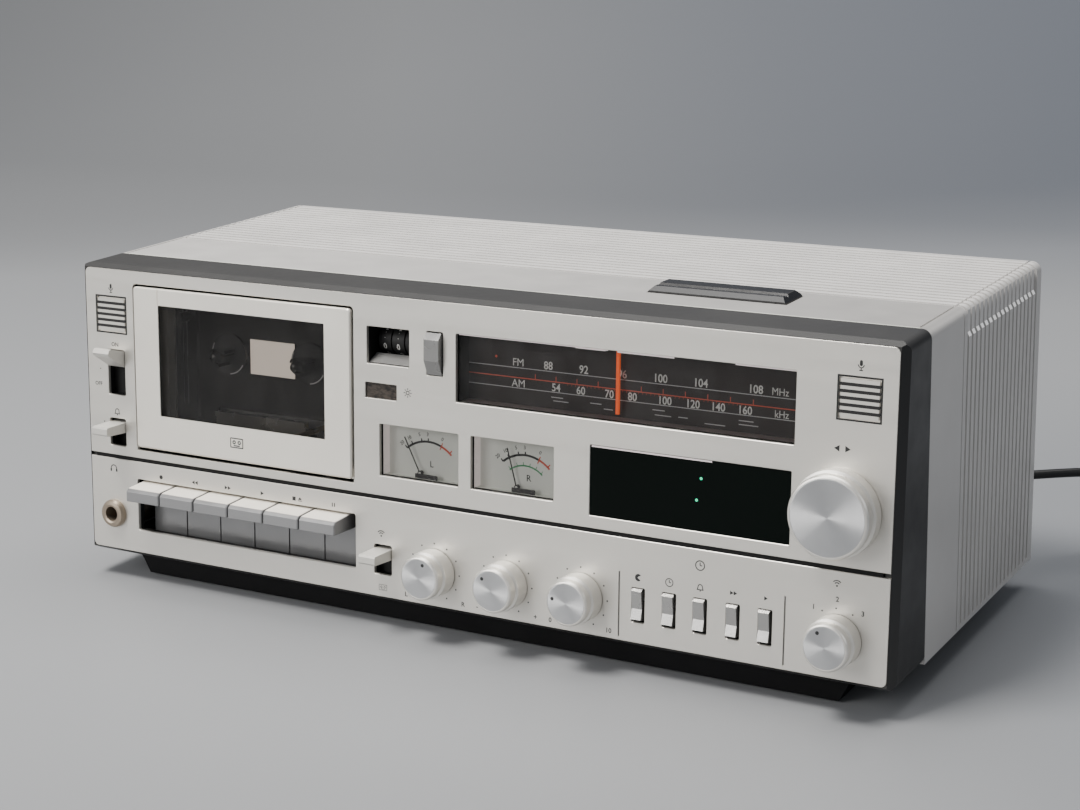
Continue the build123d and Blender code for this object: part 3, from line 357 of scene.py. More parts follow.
SLOT_LOOK = {
    "cabinet_shell": "cabinet", "back_cover": "black", "screws": "steel", "base_tray": "black", "rubber_feet": "rubber", "front_bezel": "frame",
    "upper_fascia": "fascia", "lower_fascia": "fascia", "cassette_door": "door", "door_window": "window", "cassette_well": "well",
    "deck_plate": "steel", "head_sled": "head", "pinch_roller": "pinch", "supply_spindle": "spindle", "takeup_spindle": "spindle",
    "capstan_flywheel": "brass", "tape_motor": "steel", "motor_pulley": "brass", "drive_belt": "rubber", "record_key": "key", "rewind_key": "key",
    "forward_key": "key", "play_key": "key", "stop_eject_key": "key", "pause_key": "key", "counter_hundreds": "drum", "counter_tens": "drum",
    "counter_units": "drum", "counter_reset_bar": "reset", "dial_and_meter_lenses": "lens", "front_wall": "wall_black", "dial_plate": "dial", "dial_pointer": "orange",
    "display_lens": "display", "meter_cases": "meter", "left_meter_needle": "needle", "right_meter_needle": "needle",
    "balance_knob": "knob", "tone_knob": "knob", "volume_knob": "knob", "band_knob": "knob", "tuning_knob": "knob",
    "power_switch_lever": "lever", "alarm_switch_lever": "lever", "function_switch_lever": "lever", "sleep_button": "button",
    "time_button": "button", "alarm_set_button": "button", "fast_button": "button", "slow_button": "button", "headphone_jack": "bronze",
    "snooze_bar": "snooze", "circuit_boards": "board", "transformer": "core", "speakers": "cone", "strain_relief": "cord", "mains_cord": "cord",
    "cord_coil": "cord", "mains_plug": "cord"}
for name, obj in NODES.items():
    obj.data.materials.clear()
    obj.data.materials.append(M[SLOT_LOOK[name]].m)


# ---------------------------------------------------------------- making pieces
def finish_piece(name, bm, body, look, frame_matrix=FRONT, origin=None, smooth=False, recalc=True):
    """Turns a bmesh in the fascia's millimetres (or the table's) into a piece in the row frame."""
    if recalc:
        bmesh.ops.recalc_face_normals(bm, faces=bm.faces)
    me = bpy.data.meshes.new(name)
    if origin is None:
        bm.transform(frame_matrix)
        obj = bpy.data.objects.new(name, me)
    else:
        # own origin: the mesh stays in metres about it
        bm.transform(Matrix.Diagonal((1e-3, 1e-3, 1e-3, 1)))
        obj = bpy.data.objects.new(name, me)
        rot = Matrix.Identity(4) if frame_matrix is TABLE else Matrix(((1, 0, 0, 0), (0, CL, SL, 0), (0, -SL, CL, 0), (0, 0, 0, 1)))
        obj.matrix_world = Matrix.Translation(frame_matrix @ Vector(origin)) @ rot
    bm.to_mesh(me)
    bm.free()
    bpy.context.scene.collection.objects.link(obj)
    me.materials.append(M[look].m)
    if smooth:
        for p in me.polygons:
            p.use_smooth = True
    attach(obj, body)
    return obj


def add_box(bm, x0, x1, y0, y1, z0, z1):
    vs = [bm.verts.new((x, y, z)) for x in (x0, x1) for y in (y0, y1) for z in (z0, z1)]
    for a, b, c, d in ((0, 1, 3, 2), (4, 6, 7, 5), (0, 4, 5, 1), (2, 3, 7, 6), (0, 2, 6, 4), (1, 5, 7, 3)):
        bm.faces.new((vs[a], vs[b], vs[c], vs[d]))
    return vs


def bevel_all(bm, width, segments=2):
    bmesh.ops.bevel(bm, geom=list(bm.edges) + list(bm.verts), offset=width, segments=segments, profile=0.6, affect="EDGES")


def rounded(u0, u1, v0, v1, r, n=5):
    pts = []
    for cx, cz, a0 in ((u1 - r, v1 - r, 0), (u0 + r, v1 - r, 90), (u0 + r, v0 + r, 180), (u1 - r, v0 + r, 270)):
        for i in range(n + 1):
            a = math.radians(a0 + 90 * i / n)
            pts.append((cx + r * math.cos(a), cz + r * math.sin(a)))
    return pts


class Ink:
    """Flat printed marks on planes parallel to the fascia."""

    def __init__(self, y):
        self.bm = bmesh.new()
        self.y = y

    def poly(self, pts, y=None):
        yy = self.y if y is None else y
        self.bm.faces.new([self.bm.verts.new((u - 187.5, yy, v)) for u, v in pts])

    def rect(self, u0, u1, v0, v1):
        self.poly([(u0, v0), (u1, v0), (u1, v1), (u0, v1)])

    def disc(self, u, v, r, n=20):
        self.poly([(u + r * math.cos(2 * math.pi * k / n), v + r * math.sin(2 * math.pi * k / n)) for k in range(n)])

    def line(self, a, b, w):
        d = Vector((b[0] - a[0], b[1] - a[1]))
        n = Vector((-d.y, d.x)).normalized() * (w / 2)
        self.poly([(a[0] + n.x, a[1] + n.y), (a[0] - n.x, a[1] - n.y), (b[0] - n.x, b[1] - n.y), (b[0] + n.x, b[1] + n.y)][::1])

    def arc(self, u, v, r, w, a0, a1, n=28):
        """Degrees from the top, clockwise."""
        for k in range(n):
            s, t = math.radians(a0 + (a1 - a0) * k / n), math.radians(a0 + (a1 - a0) * (k + 1) / n)
            q = [(u + q_r * math.sin(q_a), v + q_r * math.cos(q_a)) for q_r, q_a in ((r - w / 2, s), (r - w / 2, t), (r + w / 2, t), (r + w / 2, s))]
            self.poly(q)

    def radial(self, u, v, r0, r1, w, a):
        s = math.radians(a)
        self.line((u + r0 * math.sin(s), v + r0 * math.cos(s)), (u + r1 * math.sin(s), v + r1 * math.cos(s)), w)

    def ring(self, u, v, r, w, n=28):
        self.arc(u, v, r, w, 0, 360, n)

    def text(self, s, u, v, size, align="CENTER", bold=0.0, squeeze=1.0, spacing=1.0, angle=0.0):
        cu = bpy.data.curves.new("glyphs", "FONT")
        cu.body = s
        cu.size = size
        cu.align_x = align
        cu.align_y = "CENTER"
        cu.offset = bold
        cu.space_character = spacing
        cu.resolution_u = 3
        ob = bpy.data.objects.new("glyphs", cu)
        bpy.context.scene.collection.objects.link(ob)
        bpy.context.view_layer.update()
        me = bpy.data.meshes.new_from_object(ob.evaluated_get(bpy.context.evaluated_depsgraph_get()))
        ca, sa = math.cos(angle), math.sin(angle)
        made = [self.bm.verts.new((u + (p.co.x * squeeze) * ca - p.co.y * sa - 187.5, self.y, v + (p.co.x * squeeze) * sa + p.co.y * ca)) for p in me.vertices]
        for p in me.polygons:
            try:
                self.bm.faces.new([made[i] for i in p.vertices])
            except ValueError:
                pass
        bpy.data.objects.remove(ob)
        bpy.data.curves.remove(cu)
        bpy.data.meshes.remove(me)

    def done(self, name, body, look, slot=None):
        bmesh.ops.recalc_face_normals(self.bm, faces=self.bm.faces)
        for f in self.bm.faces:
            if f.normal.y > 0:
                f.normal_flip()
        return finish_piece(name, self.bm, body, look, recalc=False)


# ---------------------------------------------------------------- mains cord, its coil and tie
ROUTE = [(168.4, 175.0, 39.3), (168.4, 180.8, 39.3), (172.8, 190.2, 39.3), (180.9, 197.0, 39.3), (190.4, 204.2, 39.3), (202.4, 213.9, 38.8),
         (215.0, 224.2, 31.2), (229.0, 235.4, 17.0), (245.5, 247.5, 5.4), (262.0, 249.0, 2.02), (276.0, 241.0, 2.0)]
COIL_X, COIL_Y = 262.2, 216.9
cord_pts = [Vector(p) for p in ROUTE]
start_a = math.atan2(ROUTE[-1][1] - COIL_Y, ROUTE[-1][0] - COIL_X)
LEAVE = math.radians(20.0)
# the cord winds clockwise as seen from above: three turns out of which each layer is made
rings = []
for layer, z in enumerate((2.05, 6.1, 10.15)):
    radii = (27.7, 23.6, 19.5) if layer % 2 == 0 else (19.5, 23.6, 27.7)
    rings += [(r, z) for r in radii]
TURNS = 9
PER = 16
n_pts = int(TURNS * PER + round(((start_a - LEAVE) % (2 * math.pi)) / (2 * math.pi) * PER))
turn_total = TURNS * 2 * math.pi + ((start_a - LEAVE) % (2 * math.pi))
for k in range(1, n_pts + 1):
    t = k / n_pts * turn_total
    a = start_a - t
    f = t / (2 * math.pi)
    i = min(int(f), len(rings) - 1)
    j = min(i + 1, len(rings) - 1)
    w = max(0.0, min(1.0, (f - i - 0.80) / 0.20))
    w = w * w * (3 - 2 * w)
    r = rings[i][0] * (1 - w) + rings[j][0] * w
    z = rings[i][1] * (1 - w) + rings[j][1] * w
    if f > TURNS - 0.7:
        g = min(1.0, (f - (TURNS - 0.7)) / 0.6)
        g = g * g * (3 - 2 * g)
        r = r * (1 - g) + 27.7 * g
    if f > TURNS - 0.2:
        g = min(1.0, (f - (TURNS - 0.2)) / (turn_total / (2 * math.pi) - TURNS + 0.2))
        z = z * (1 - g) + 10.1 * g
    cord_pts.append(Vector((COIL_X + r * math.cos(a), COIL_Y + r * math.sin(a), z)))
cu = bpy.data.curves.new("mains_lead", "CURVE")
cu.dimensions = "3D"
sp = cu.splines.new("NURBS")
sp.points.add(len(cord_pts) - 1)
for q, p in zip(sp.points, cord_pts):
    v = TABLE @ p
    q.co = (*v, 1)
sp.order_u = 3
sp.use_endpoint_u = True
sp.resolution_u = 8
cu.bevel_depth = 0.002
cu.bevel_resolution = 5
cu.use_fill_caps = True
lead = bpy.data.objects.new("mains_lead", cu)
bpy.context.scene.collection.objects.link(lead)
cu.materials.append(M["cord"].m)
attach(lead, "cabinet")
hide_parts("mains_cord", "cord_coil")


def polyline_length(pts):
    return sum((b - a).length for a, b in zip(pts, pts[1:]))


bare = bpy.data.objects.new("bare_line", cu.copy())
bare.data.bevel_depth = 0
bpy.context.scene.collection.objects.link(bare)
bpy.context.view_layer.update()
line_mesh = bpy.data.meshes.new_from_object(bare.evaluated_get(bpy.context.evaluated_depsgraph_get()))
LEAD_LENGTH = polyline_length([v.co.copy() for v in line_mesh.vertices])
print("lead length", round(LEAD_LENGTH, 4), "points", len(cord_pts))
bpy.data.objects.remove(bare)
bpy.data.meshes.remove(line_mesh)

# a soft tie round the coil
bm = bmesh.new()
tie_r = 23.0
n_a, n_w = 28, 3
ringv = []
for i in range(n_a):
    a = 2 * math.pi * i / n_a
    ex, ez = 8.0, 6.7
    sx = math.copysign(abs(math.cos(a)) ** 0.55, math.cos(a)) * ex
    sz = math.copysign(abs(math.sin(a)) ** 0.55, math.sin(a)) * ez
    row = []
    for j in range(n_w):
        s = (j / (n_w - 1) - 0.5) * 4.0
        row.append(bm.verts.new((COIL_X - (tie_r + sx), COIL_Y + s, max(0.15, 6.35 + sz))))
    ringv.append(row)
for i in range(n_a):
    for j in range(n_w - 1):
        bm.faces.new((ringv[i][j], ringv[(i + 1) % n_a][j], ringv[(i + 1) % n_a][j + 1], ringv[i][j + 1]))
tie = finish_piece("coil_tie", bm, "cabinet", "rubber", TABLE, smooth=True)

# ---------------------------------------------------------------- fascia: printed marks
ink = Ink(-0.03)
for u, v in ((180.8, 14.7), (214.6, 14.8), (248.3, 15.0)):
    for k in range(11):
        a = math.radians(-150 + 30 * k)
        ink.disc(u + 11.9 * math.sin(a), v + 11.9 * math.cos(a), 0.36, 10)
for u, v in ((349.0, 25.6), (354.4, 27.3), (360.9, 25.8)):
    ink.disc(u, v, 0.34, 10)


def cassette_icon(k, u, v, s, w=1.0):
    k.line((u - s, v + 0.62 * s), (u + s, v + 0.62 * s), 0.09 * s * w)
    k.line((u - s, v - 0.62 * s), (u + s, v - 0.62 * s), 0.09 * s * w)
    k.line((u - s, v - 0.66 * s), (u - s, v + 0.66 * s), 0.09 * s * w)
    k.line((u + s, v - 0.66 * s), (u + s, v + 0.66 * s), 0.09 * s * w)
    k.ring(u - 0.42 * s, v + 0.08 * s, 0.20 * s, 0.10 * s * w, 14)
    k.ring(u + 0.42 * s, v + 0.08 * s, 0.20 * s, 0.10 * s * w, 14)
    k.line((u - 0.5 * s, v - 0.38 * s), (u + 0.5 * s, v - 0.38 * s), 0.10 * s * w)


def wave_icon(k, u, v, s):
    s = 1.4 * s
    k.disc(u, v - 0.5 * s, 0.16 * s, 12)
    for r in (0.5, 0.85):
        k.arc(u, v - 0.5 * s, r * s, 0.16 * s, -48, 48, 12)


def bell_icon(k, u, v, s):
    s = 1.35 * s
    k.arc(u, v + 0.05 * s, 0.42 * s, 0.17 * s, -90, 90, 14)
    k.line((u - 0.42 * s, v + 0.08 * s), (u - 0.52 * s, v - 0.45 * s), 0.17 * s)
    k.line((u + 0.42 * s, v + 0.08 * s), (u + 0.52 * s, v - 0.45 * s), 0.17 * s)
    k.line((u - 0.66 * s, v - 0.48 * s), (u + 0.66 * s, v - 0.48 * s), 0.17 * s)
    k.disc(u, v - 0.68 * s, 0.13 * s, 10)


def mic_icon(k, u, v, s):
    s = 1.4 * s
    k.poly(rounded(u - 0.24 * s, u + 0.24 * s, v - 0.05 * s, v + 0.85 * s, 0.23 * s, 4))
    k.arc(u, v + 0.15 * s, 0.46 * s, 0.15 * s, 90, 270, 14)
    k.line((u, v - 0.3 * s), (u, v - 0.68 * s), 0.15 * s)
    k.line((u - 0.3 * s, v - 0.72 * s), (u + 0.3 * s, v - 0.72 * s), 0.15 * s)


def headphone_icon(k, u, v, s):
    s = 1.25 * s
    k.arc(u, v - 0.1 * s, 0.62 * s, 0.17 * s, -95, 95, 18)
    for d in (-1, 1):
        k.poly(rounded(u + d * 0.62 * s - 0.16 * s, u + d * 0.62 * s + 0.16 * s, v - 0.66 * s, v - 0.08 * s, 0.12 * s, 3))


def sun_icon(k, u, v, s):
    s = 1.45 * s
    k.ring(u, v, 0.34 * s, 0.16 * s, 16)
    for a in range(0, 360, 45):
        k.radial(u, v, 0.58 * s, 0.88 * s, 0.16 * s, a)


def clock_icon(k, u, v, s):
    s = 1.35 * s
    k.ring(u, v, 0.72 * s, 0.16 * s, 24)
    k.line((u, v), (u, v + 0.48 * s), 0.16 * s)
    k.line((u, v), (u + 0.34 * s, v), 0.16 * s)


def moon_icon(k, u, v, s):
    s = 1.3 * s
    outer, inner = [], []
    for i in range(15):
        a = math.radians(40 + 280 * i / 14)
        outer.append((u + 0.66 * s * math.cos(a), v + 0.66 * s * math.sin(a)))
    x0, x1 = outer[0], outer[-1]
    for i in range(1, 14):
        t = i / 14
        p = (x1[0] + (x0[0] - x1[0]) * t, x1[1] + (x0[1] - x1[1]) * t)
        inner.append((p[0] - 0.62 * s * math.sin(math.pi * t), p[1]))
    pts = outer + inner
    for i in range(13):
        a, b = outer[i], outer[i + 1]
        c, d = (inner[::-1] + [outer[-1]])[min(i, 12)], (inner[::-1] + [outer[-1]])[max(0, i - 1)]
        if i == 0:
            k.poly([a, b, c])
        else:
            k.poly([a, b, c, d])


def tri(k, u, v, s, d=1):
    pts = [(u - 0.45 * s * d, v - 0.55 * s), (u + 0.5 * s * d, v), (u - 0.45 * s * d, v + 0.55 * s)]
    k.poly(pts if d > 0 else pts[::-1])


mic_icon(ink, 14.4, 117.2, 1.7)
mic_icon(ink, 360.3, 117.9, 1.7)
headphone_icon(ink, 12.9, 37.0, 2.0)
ink.text("ON", 15.8, 92.6, 2.5, bold=0.04)
ink.text("OFF", 5.9, 74.4, 2.3, bold=0.04)
ink.disc(7.2, 81.2, 0.3, 10)
bell_icon(ink, 15.9, 62.9, 1.7)
ink.disc(8.4, 57.6, 0.3, 10)
v = 36.1
ink.disc(39.6, v, 0.95)
tri(ink, 57.4, v, 1.6, -1); tri(ink, 59.1, v, 1.6, -1)
tri(ink, 75.2, v, 1.6, 1); tri(ink, 76.9, v, 1.6, 1)
tri(ink, 94.4, v, 1.7, 1)
ink.rect(110.2, 111.9, v - 0.85, v + 0.85)
ink.poly([(113.1, v - 0.25), (115.1, v - 0.25), (114.1, v + 0.95)])
ink.rect(113.1, 115.1, v - 0.85, v - 0.55)
ink.rect(130.4, 130.9, v - 0.85, v + 0.85); ink.rect(131.5, 132.0, v - 0.85, v + 0.85)
wave_icon(ink, 155.0, 27.4, 1.8)
cassette_icon(ink, 155.7, 4.2, 1.9)
ink.text("L", 167.1, 3.1, 2.7, bold=0.06)
ink.text("R", 194.5, 3.1, 2.7, bold=0.06)
ink.text("-", 201.2, 3.3, 2.9, bold=0.05)
ink.text("+", 228.2, 3.3, 2.9, bold=0.05)
ink.text("0", 234.9, 3.2, 2.7, bold=0.06)
ink.text("10", 260.9, 3.2, 2.7, bold=0.06)
clock_icon(ink, 299.4, 35.2, 1.9)
moon_icon(ink, 273.5, 26.5, 1.7)
clock_icon(ink, 286.7, 26.6, 1.6)
bell_icon(ink, 299.7, 26.8, 1.6)
tri(ink, 312.7, 26.6, 1.5, 1); tri(ink, 314.2, 26.6, 1.5, 1)
tri(ink, 326.6, 26.6, 1.5, 1)
ink.text("1", 345.6, 26.5, 2.7, bold=0.06)
ink.text("2", 354.8, 30.7, 2.7, bold=0.06)
ink.text("3", 364.8, 26.7, 2.7, bold=0.06)
wave_icon(ink, 354.4, 37.0, 1.7)
tri(ink, 352.3, 87.0, 2.2, -1); tri(ink, 356.5, 87.0, 2.2, 1)
sun_icon(ink, 168.2, 87.4, 1.5)
ink.done("fascia_marks", "cabinet", "ink")

# black ground behind the grilles' slats and in the engraved separators
for name, rect in (("mic_ground_left", (6.3, 22.2, 98.1, 113.4)), ("mic_ground_right", (352.2, 368.2, 98.1, 113.4))):
    bm = bmesh.new()
    add_box(bm, rect[0] - 187.5, rect[1] - 187.5, 1.46, 1.62, rect[2], rect[3])
    finish_piece(name, bm, "cabinet", "blackout")
for name, rect in (("mic_outline_left", (6.3, 22.2, 98.1, 113.4)), ("mic_outline_right", (352.2, 368.2, 98.1, 113.4))):
    k = Ink(-0.02)
    u0, u1, v0, v1 = rect
    w = 0.7
    k.rect(u0 - w, u0, v0 - w, v1 + w)
    k.rect(u1, u1 + w, v0 - w, v1 + w)
    k.rect(u0, u1, v0 - w, v0)
    k.rect(u0, u1, v1, v1 + w)
    slat = (v1 - v0 - 1.2 - 5.0) / 6
    for i in range(5):
        va = v0 + 0.6 + slat * (i + 1) + i
        k.rect(u0 + 0.1, u1 - 0.1, va - 0.12, va + 1.12)
    k.done(name, "cabinet", "ink_black")
k = Ink(0.48)
k.rect(264.97, 265.63, 1.7, 27.8)
k.rect(333.97, 334.63, 1.9, 28.6)
k.done("separator_lines", "cabinet", "ink_grey")

# ---------------------------------------------------------------- door: small generic mark
k = Ink(-1.03)
cassette_icon(k, 82.2, 56.6, 3.2, 1.6)
k.done("door_mark", "door", "ink")

# pale pad between the hubs; its glow is painted light that lifts the shade deep in the well
bm = bmesh.new()
add_box(bm, 73.1 - 187.5, 96.7 - 187.5, 21.35, 21.62, 82.1, 97.3)
bevel_all(bm, 0.1, 1)
finish_piece("well_pad_facing", bm, "cabinet", "pad")

# pale edges of the well's mouldings, as the light from the left picks them out
for name, u0, u1, v0, v1, look in (("well_edge_1", 42.7, 44.3, 65.0, 110.8, "pale_edge_highlight"), ("well_edge_2", 35.4, 36.0, 65.0, 110.8, "mould"), ("well_edge_3", 37.6, 38.1, 65.0, 110.8, "mould")):
    bm = bmesh.new()
    add_box(bm, u0 - 187.5, u1 - 187.5, 22.2, 22.46, v0, v1)
    finish_piece(name, bm, "cabinet", look)

# glints on the hubs' flanges
k = Ink(19.12)
for u, body_ in ((63.1, "supply_spindle"), (105.6, "takeup_spindle")):
    k.arc(u, 90.0, 8.55, 0.55, 118, 176, 12)
    k.arc(u, 90.0, 8.8, 0.30, 232, 300, 12)
k.done("hub_flange_glints", "cabinet", "glint_bright", "spindle_black")
# painted highlights on the shoulders where the side ribs step in, and a painted highlight line along the cabinet's
# front edge behind the front frame
bm = bmesh.new()
for sgn in (1, -1):
    for i in range(17):
        ya, yb = 74.2 + 5.03 * i + 1.15, 74.2 + 5.03 * (i + 1) - 1.15
        vs = [bm.verts.new(q) for q in ((sgn * 190.0, ya, 124.25), (sgn * 190.0, yb, 124.25), (sgn * 189.26, yb, 125.85), (sgn * 189.26, ya, 125.85))]
        f = bm.faces.new(vs)
        f.normal_update()
        if f.normal.x * sgn < 0:
            f.normal_flip()
finish_piece("rib_shoulder_painted_highlights", bm, "cabinet", "crest", BODY, recalc=False)
bm = bmesh.new()
add_box(bm, -185.5, 185.5, 33.32, 33.85, 136.0, 136.1)
finish_piece("front_edge_painted_highlight", bm, "cabinet", "joint", BODY)

# ---------------------------------------------------------------- piano keys: cream inlay on each top
for i, key in enumerate(("record_key", "rewind_key", "forward_key", "play_key", "stop_eject_key", "pause_key")):
    x0 = 28.05 + 18.5 * i - 187.5
    x1 = x0 + 17.85
    bm = bmesh.new()
    sl = (32.4 - 31.4) / 10.4
    y0 = -8.5
    pts = [(y0, 31.4 + (y0 + 8.9) * sl), (1.5, 32.4), (5.6, 32.4)]
    rows = []
    for x in (x0 + 0.35, x1 - 0.35):
        low = [bm.verts.new((x, y, z - 0.2)) for y, z in pts]
        top = [bm.verts.new((x, y, z + 0.22)) for y, z in pts]
        rows.append((low, top))
    (l0, t0), (l1, t1) = rows
    for a in range(2):
        bm.faces.new((t0[a], t0[a + 1], t1[a + 1], t1[a]))
        bm.faces.new((l0[a], l1[a], l1[a + 1], l0[a + 1]))
        bm.faces.new((l0[a], l0[a + 1], t0[a + 1], t0[a]))
        bm.faces.new((l1[a], t1[a], t1[a + 1], l1[a + 1]))
    bm.faces.new((l0[0], t0[0], t1[0], l1[0]))
    bm.faces.new((l0[2], l1[2], t1[2], t0[2]))
    bmesh.ops.recalc_face_normals(bm, faces=bm.faces)
    bevel_all(bm, 0.09, 1)
    finish_piece(key + "_inlay", bm, key, "cream")

# ---------------------------------------------------------------- tape counter numerals
for name, d in (("counter_hundreds", -1), ("counter_tens", 0), ("counter_units", 1)):
    bm_all = bmesh.new()
    um = 158.4 + 6.4 * d
    for digit in range(10):
        k = Ink(0.0)
        k.text(str(digit), 187.5, 0.0, 3.7, bold=0.02, squeeze=0.85)
        # digit 0 faces the window's middle; the others go round the drum
        a = math.radians(-22.0 if digit == 0 else 23.0 + 33.75 * (digit - 1))
        for vert in k.bm.verts:
            th = vert.co.z / 6.03 + a
            vert.co = Vector((vert.co.x + um - 187.5, 13.9 - 6.04 * math.cos(th), 106.0 + 6.04 * math.sin(th)))
        me = bpy.data.meshes.new("digit")
        k.bm.to_mesh(me)
        k.bm.free()
        bm_all.from_mesh(me)
        bpy.data.meshes.remove(me)
    for f in bm_all.faces:
        f.normal_update()
        c = f.calc_center_median()
        if f.normal.dot(Vector((0, c.y - 13.9, c.z - 106.0))) < 0:
            f.normal_flip()
    finish_piece(name + "_numerals", bm_all, name, "white", recalc=False)
bm = bmesh.new()
add_box(bm, 148.9 - 187.5, 168.5 - 187.5, 20.0, 20.6, 97.0, 113.2)
finish_piece("counter_back", bm, "cabinet", "blackout")
# grey sill facing
bm = bmesh.new()
vs = [bm.verts.new(p) for p in ((148.55 - 187.5, 1.55, 97.98), (168.85 - 187.5, 1.55, 97.98), (168.85 - 187.5, 7.35, 101.05), (148.55 - 187.5, 7.35, 101.05))]
bm.faces.new(vs)
bmesh.ops.solidify(bm, geom=list(bm.faces), thickness=0.12)
finish_piece("counter_sill_facing", bm, "cabinet", "sill")

# ---------------------------------------------------------------- dimmer window
bm = bmesh.new()
add_box(bm, 147.7 - 187.5, 162.7 - 187.5, 0.9, 1.5, 83.5, 89.8)
bevel_all(bm, 0.12, 2)
finish_piece("dimmer_window", bm, "cabinet", "dimmer")

# ---------------------------------------------------------------- tuning dial
Y_DIAL = 10.17
k = Ink(Y_DIAL)
for text, u in (("88", 227.2), ("92", 243.0), ("96", 259.8), ("100", 276.1), ("104", 293.0), ("108", 315.5)):
    k.text(text, u, 102.75, 4.5, bold=0.07, squeeze=0.9)
for text, u in (("54", 230.8), ("60", 241.8), ("70", 254.3), ("80", 264.3), ("100", 278.1), ("120", 289.9), ("140", 300.4), ("160", 311.4)):
    k.text(text, u, 94.35, 4.4, bold=0.07, squeeze=0.9)
k.text("FM", 213.6, 102.75, 4.3)
k.text("AM", 213.8, 94.35, 4.3)
k.text("MHz", 325.4, 102.75, 4.0, squeeze=0.9)
k.text("kHz", 326.2, 94.35, 4.0, squeeze=0.9)
k.done("dial_numerals", "cabinet", "white", "dial_dark")
k = Ink(Y_DIAL)
k.rect(190.5, 336.5, 100.55, 100.85)
k.rect(190.5, 336.5, 92.45, 92.75)
for u0, u1, v0 in ((228.6, 234.0, 90.4), (229.6, 236.4, 89.0), (246.0, 251.0, 89.9), (252.0, 256.0, 88.2), (273.0, 278.2, 90.3), (274.0, 281.0, 88.4), (284.0, 288.0, 88.6),
                   (295.0, 303.5, 87.4), (309.0, 315.0, 90.2), (309.0, 317.0, 88.7)):
    k.rect(u0, u1, v0, v0 + 0.35)
k.done("dial_lines", "cabinet", "line", "dial_dark")
k = Ink(Y_DIAL)
k.rect(190.5, 336.5, 96.55, 96.95)
for i in range(11):
    k.rect(221.4 + 9.33 * i - 0.16, 221.4 + 9.33 * i + 0.16, 96.9, 98.9)
for i in range(45):
    k.rect(236 + 1.72 * i - 0.07, 236 + 1.72 * i + 0.07, 95.85, 96.6)
k.disc(203.5, 104.4, 0.55, 12)
k.done("dial_red_scale", "cabinet", "red", "dial_dark")
# painted highlight: a grey strip along the top inner edge of the dial's opening
bm = bmesh.new()
add_box(bm, 191.3 - 187.5, 335.6 - 187.5, 2.9, 10.1, 113.05, 113.35)
finish_piece("dial_top_painted_highlight", bm, "cabinet", "mould")
# brown lining on the sill of the dial's opening
bm = bmesh.new()
add_box(bm, 191.1 - 187.5, 335.7 - 187.5, 2.85, 10.1, 85.84, 85.97)
finish_piece("dial_sill_lining", bm, "cabinet", "lining")
# painted highlights: pale pink glowing strips along the top edge of the dial's lens
k = Ink(1.46)
k.rect(191.6, 258.0, 113.1, 113.45)
k.rect(244.0, 257.0, 112.85, 113.5)
k.rect(262.0, 286.0, 112.85, 113.5)
k.rect(311.0, 335.3, 113.0, 113.5)
k.done("dial_lens_painted_highlight", "cabinet", "pink", "clear_acrylic")

# ---------------------------------------------------------------- display
k = Ink(0.46)
k.disc(298.7, 68.7, 0.58, 20)
k.disc(297.0, 60.2, 0.58, 20)
k.done("display_colon", "cabinet", "lit")
# painted reflection: a pale pink glowing strip along the display window's top edge
k = Ink(0.46)
k.rect(252.2, 303.0, 75.35, 75.98)
k.done("display_painted_reflection", "cabinet", "pink", "display_filter")

# ---------------------------------------------------------------- level meters
Y_M = 7.36
for side, (pu, pv), rect in (("left", (170.4, 53.4), (154.4, 192.1, 51.5, 73.2)), ("right", (215.9, 53.4), (197.9, 235.7, 51.5, 73.2))):
    cu_, cv_ = pu + 2.9, 50.6
    R0 = 15.9
    black = Ink(Y_M)
    black.arc(cu_, cv_, R0, 0.95, -40, 22, 24)
    for a in (-40, -28, -11, 0):
        black.radial(cu_, cv_, R0, R0 + 1.4, 0.6, a)
    black.text("L" if side == "left" else "R", cu_ + 1.6, 57.2, 3.7, bold=0.04)
    for s, a in (("20", -42), ("10", -29), ("5", -13), ("3", -1), ("0", 21)):
        t = math.radians(a)
        black.text(s, cu_ + (R0 + 3.0) * math.sin(t), cv_ + (R0 + 3.0) * math.cos(t), 2.1, bold=0.03, angle=-t)
    black.done(side + "_meter_scale", "cabinet", "ink_black", "meter_face")
    redm = Ink(Y_M)
    redm.arc(cu_, cv_, R0, 0.9, 22, 44, 10)
    redm.radial(cu_, cv_, R0 - 1.6, R0 + 1.6, 0.5, 23)
    redm.radial(cu_, cv_, R0 - 0.2, R0 + 1.6, 0.5, 40)
    redm.done(side + "_meter_red_zone", "cabinet", "red", "meter_face")
    if side == "right":
        g = Ink(Y_M)
        g.arc(cu_, cv_, 11.6, 0.65, -38, 42, 24)
        for a in (-36, -18, -4, 10, 24, 38):
            g.radial(cu_, cv_, 11.6, 13.0, 0.3, a)
        g.done("right_meter_green_scale", "cabinet", "green", "meter_face")
    # pivot cover
    bm = bmesh.new()
    add_box(bm, pu - 1.6 - 187.5, pu + 9.0 - 187.5, 4.2, 4.9, 51.6, 53.5)
    bevel_all(bm, 0.25, 2)
    finish_piece(side + "_meter_pivot_cover", bm, "cabinet", "needle")
    # painted light on the left edge moulding: a pale glowing strip on the inner left wall of each meter's opening
    bm = bmesh.new()
    add_box(bm, rect[0] + 0.02 - 187.5, rect[0] + 0.16 - 187.5, 2.8, 7.3, rect[2] + 0.15, rect[3] - 0.15)
    finish_piece(side + "_meter_wall_painted_light", bm, "cabinet", "rim")

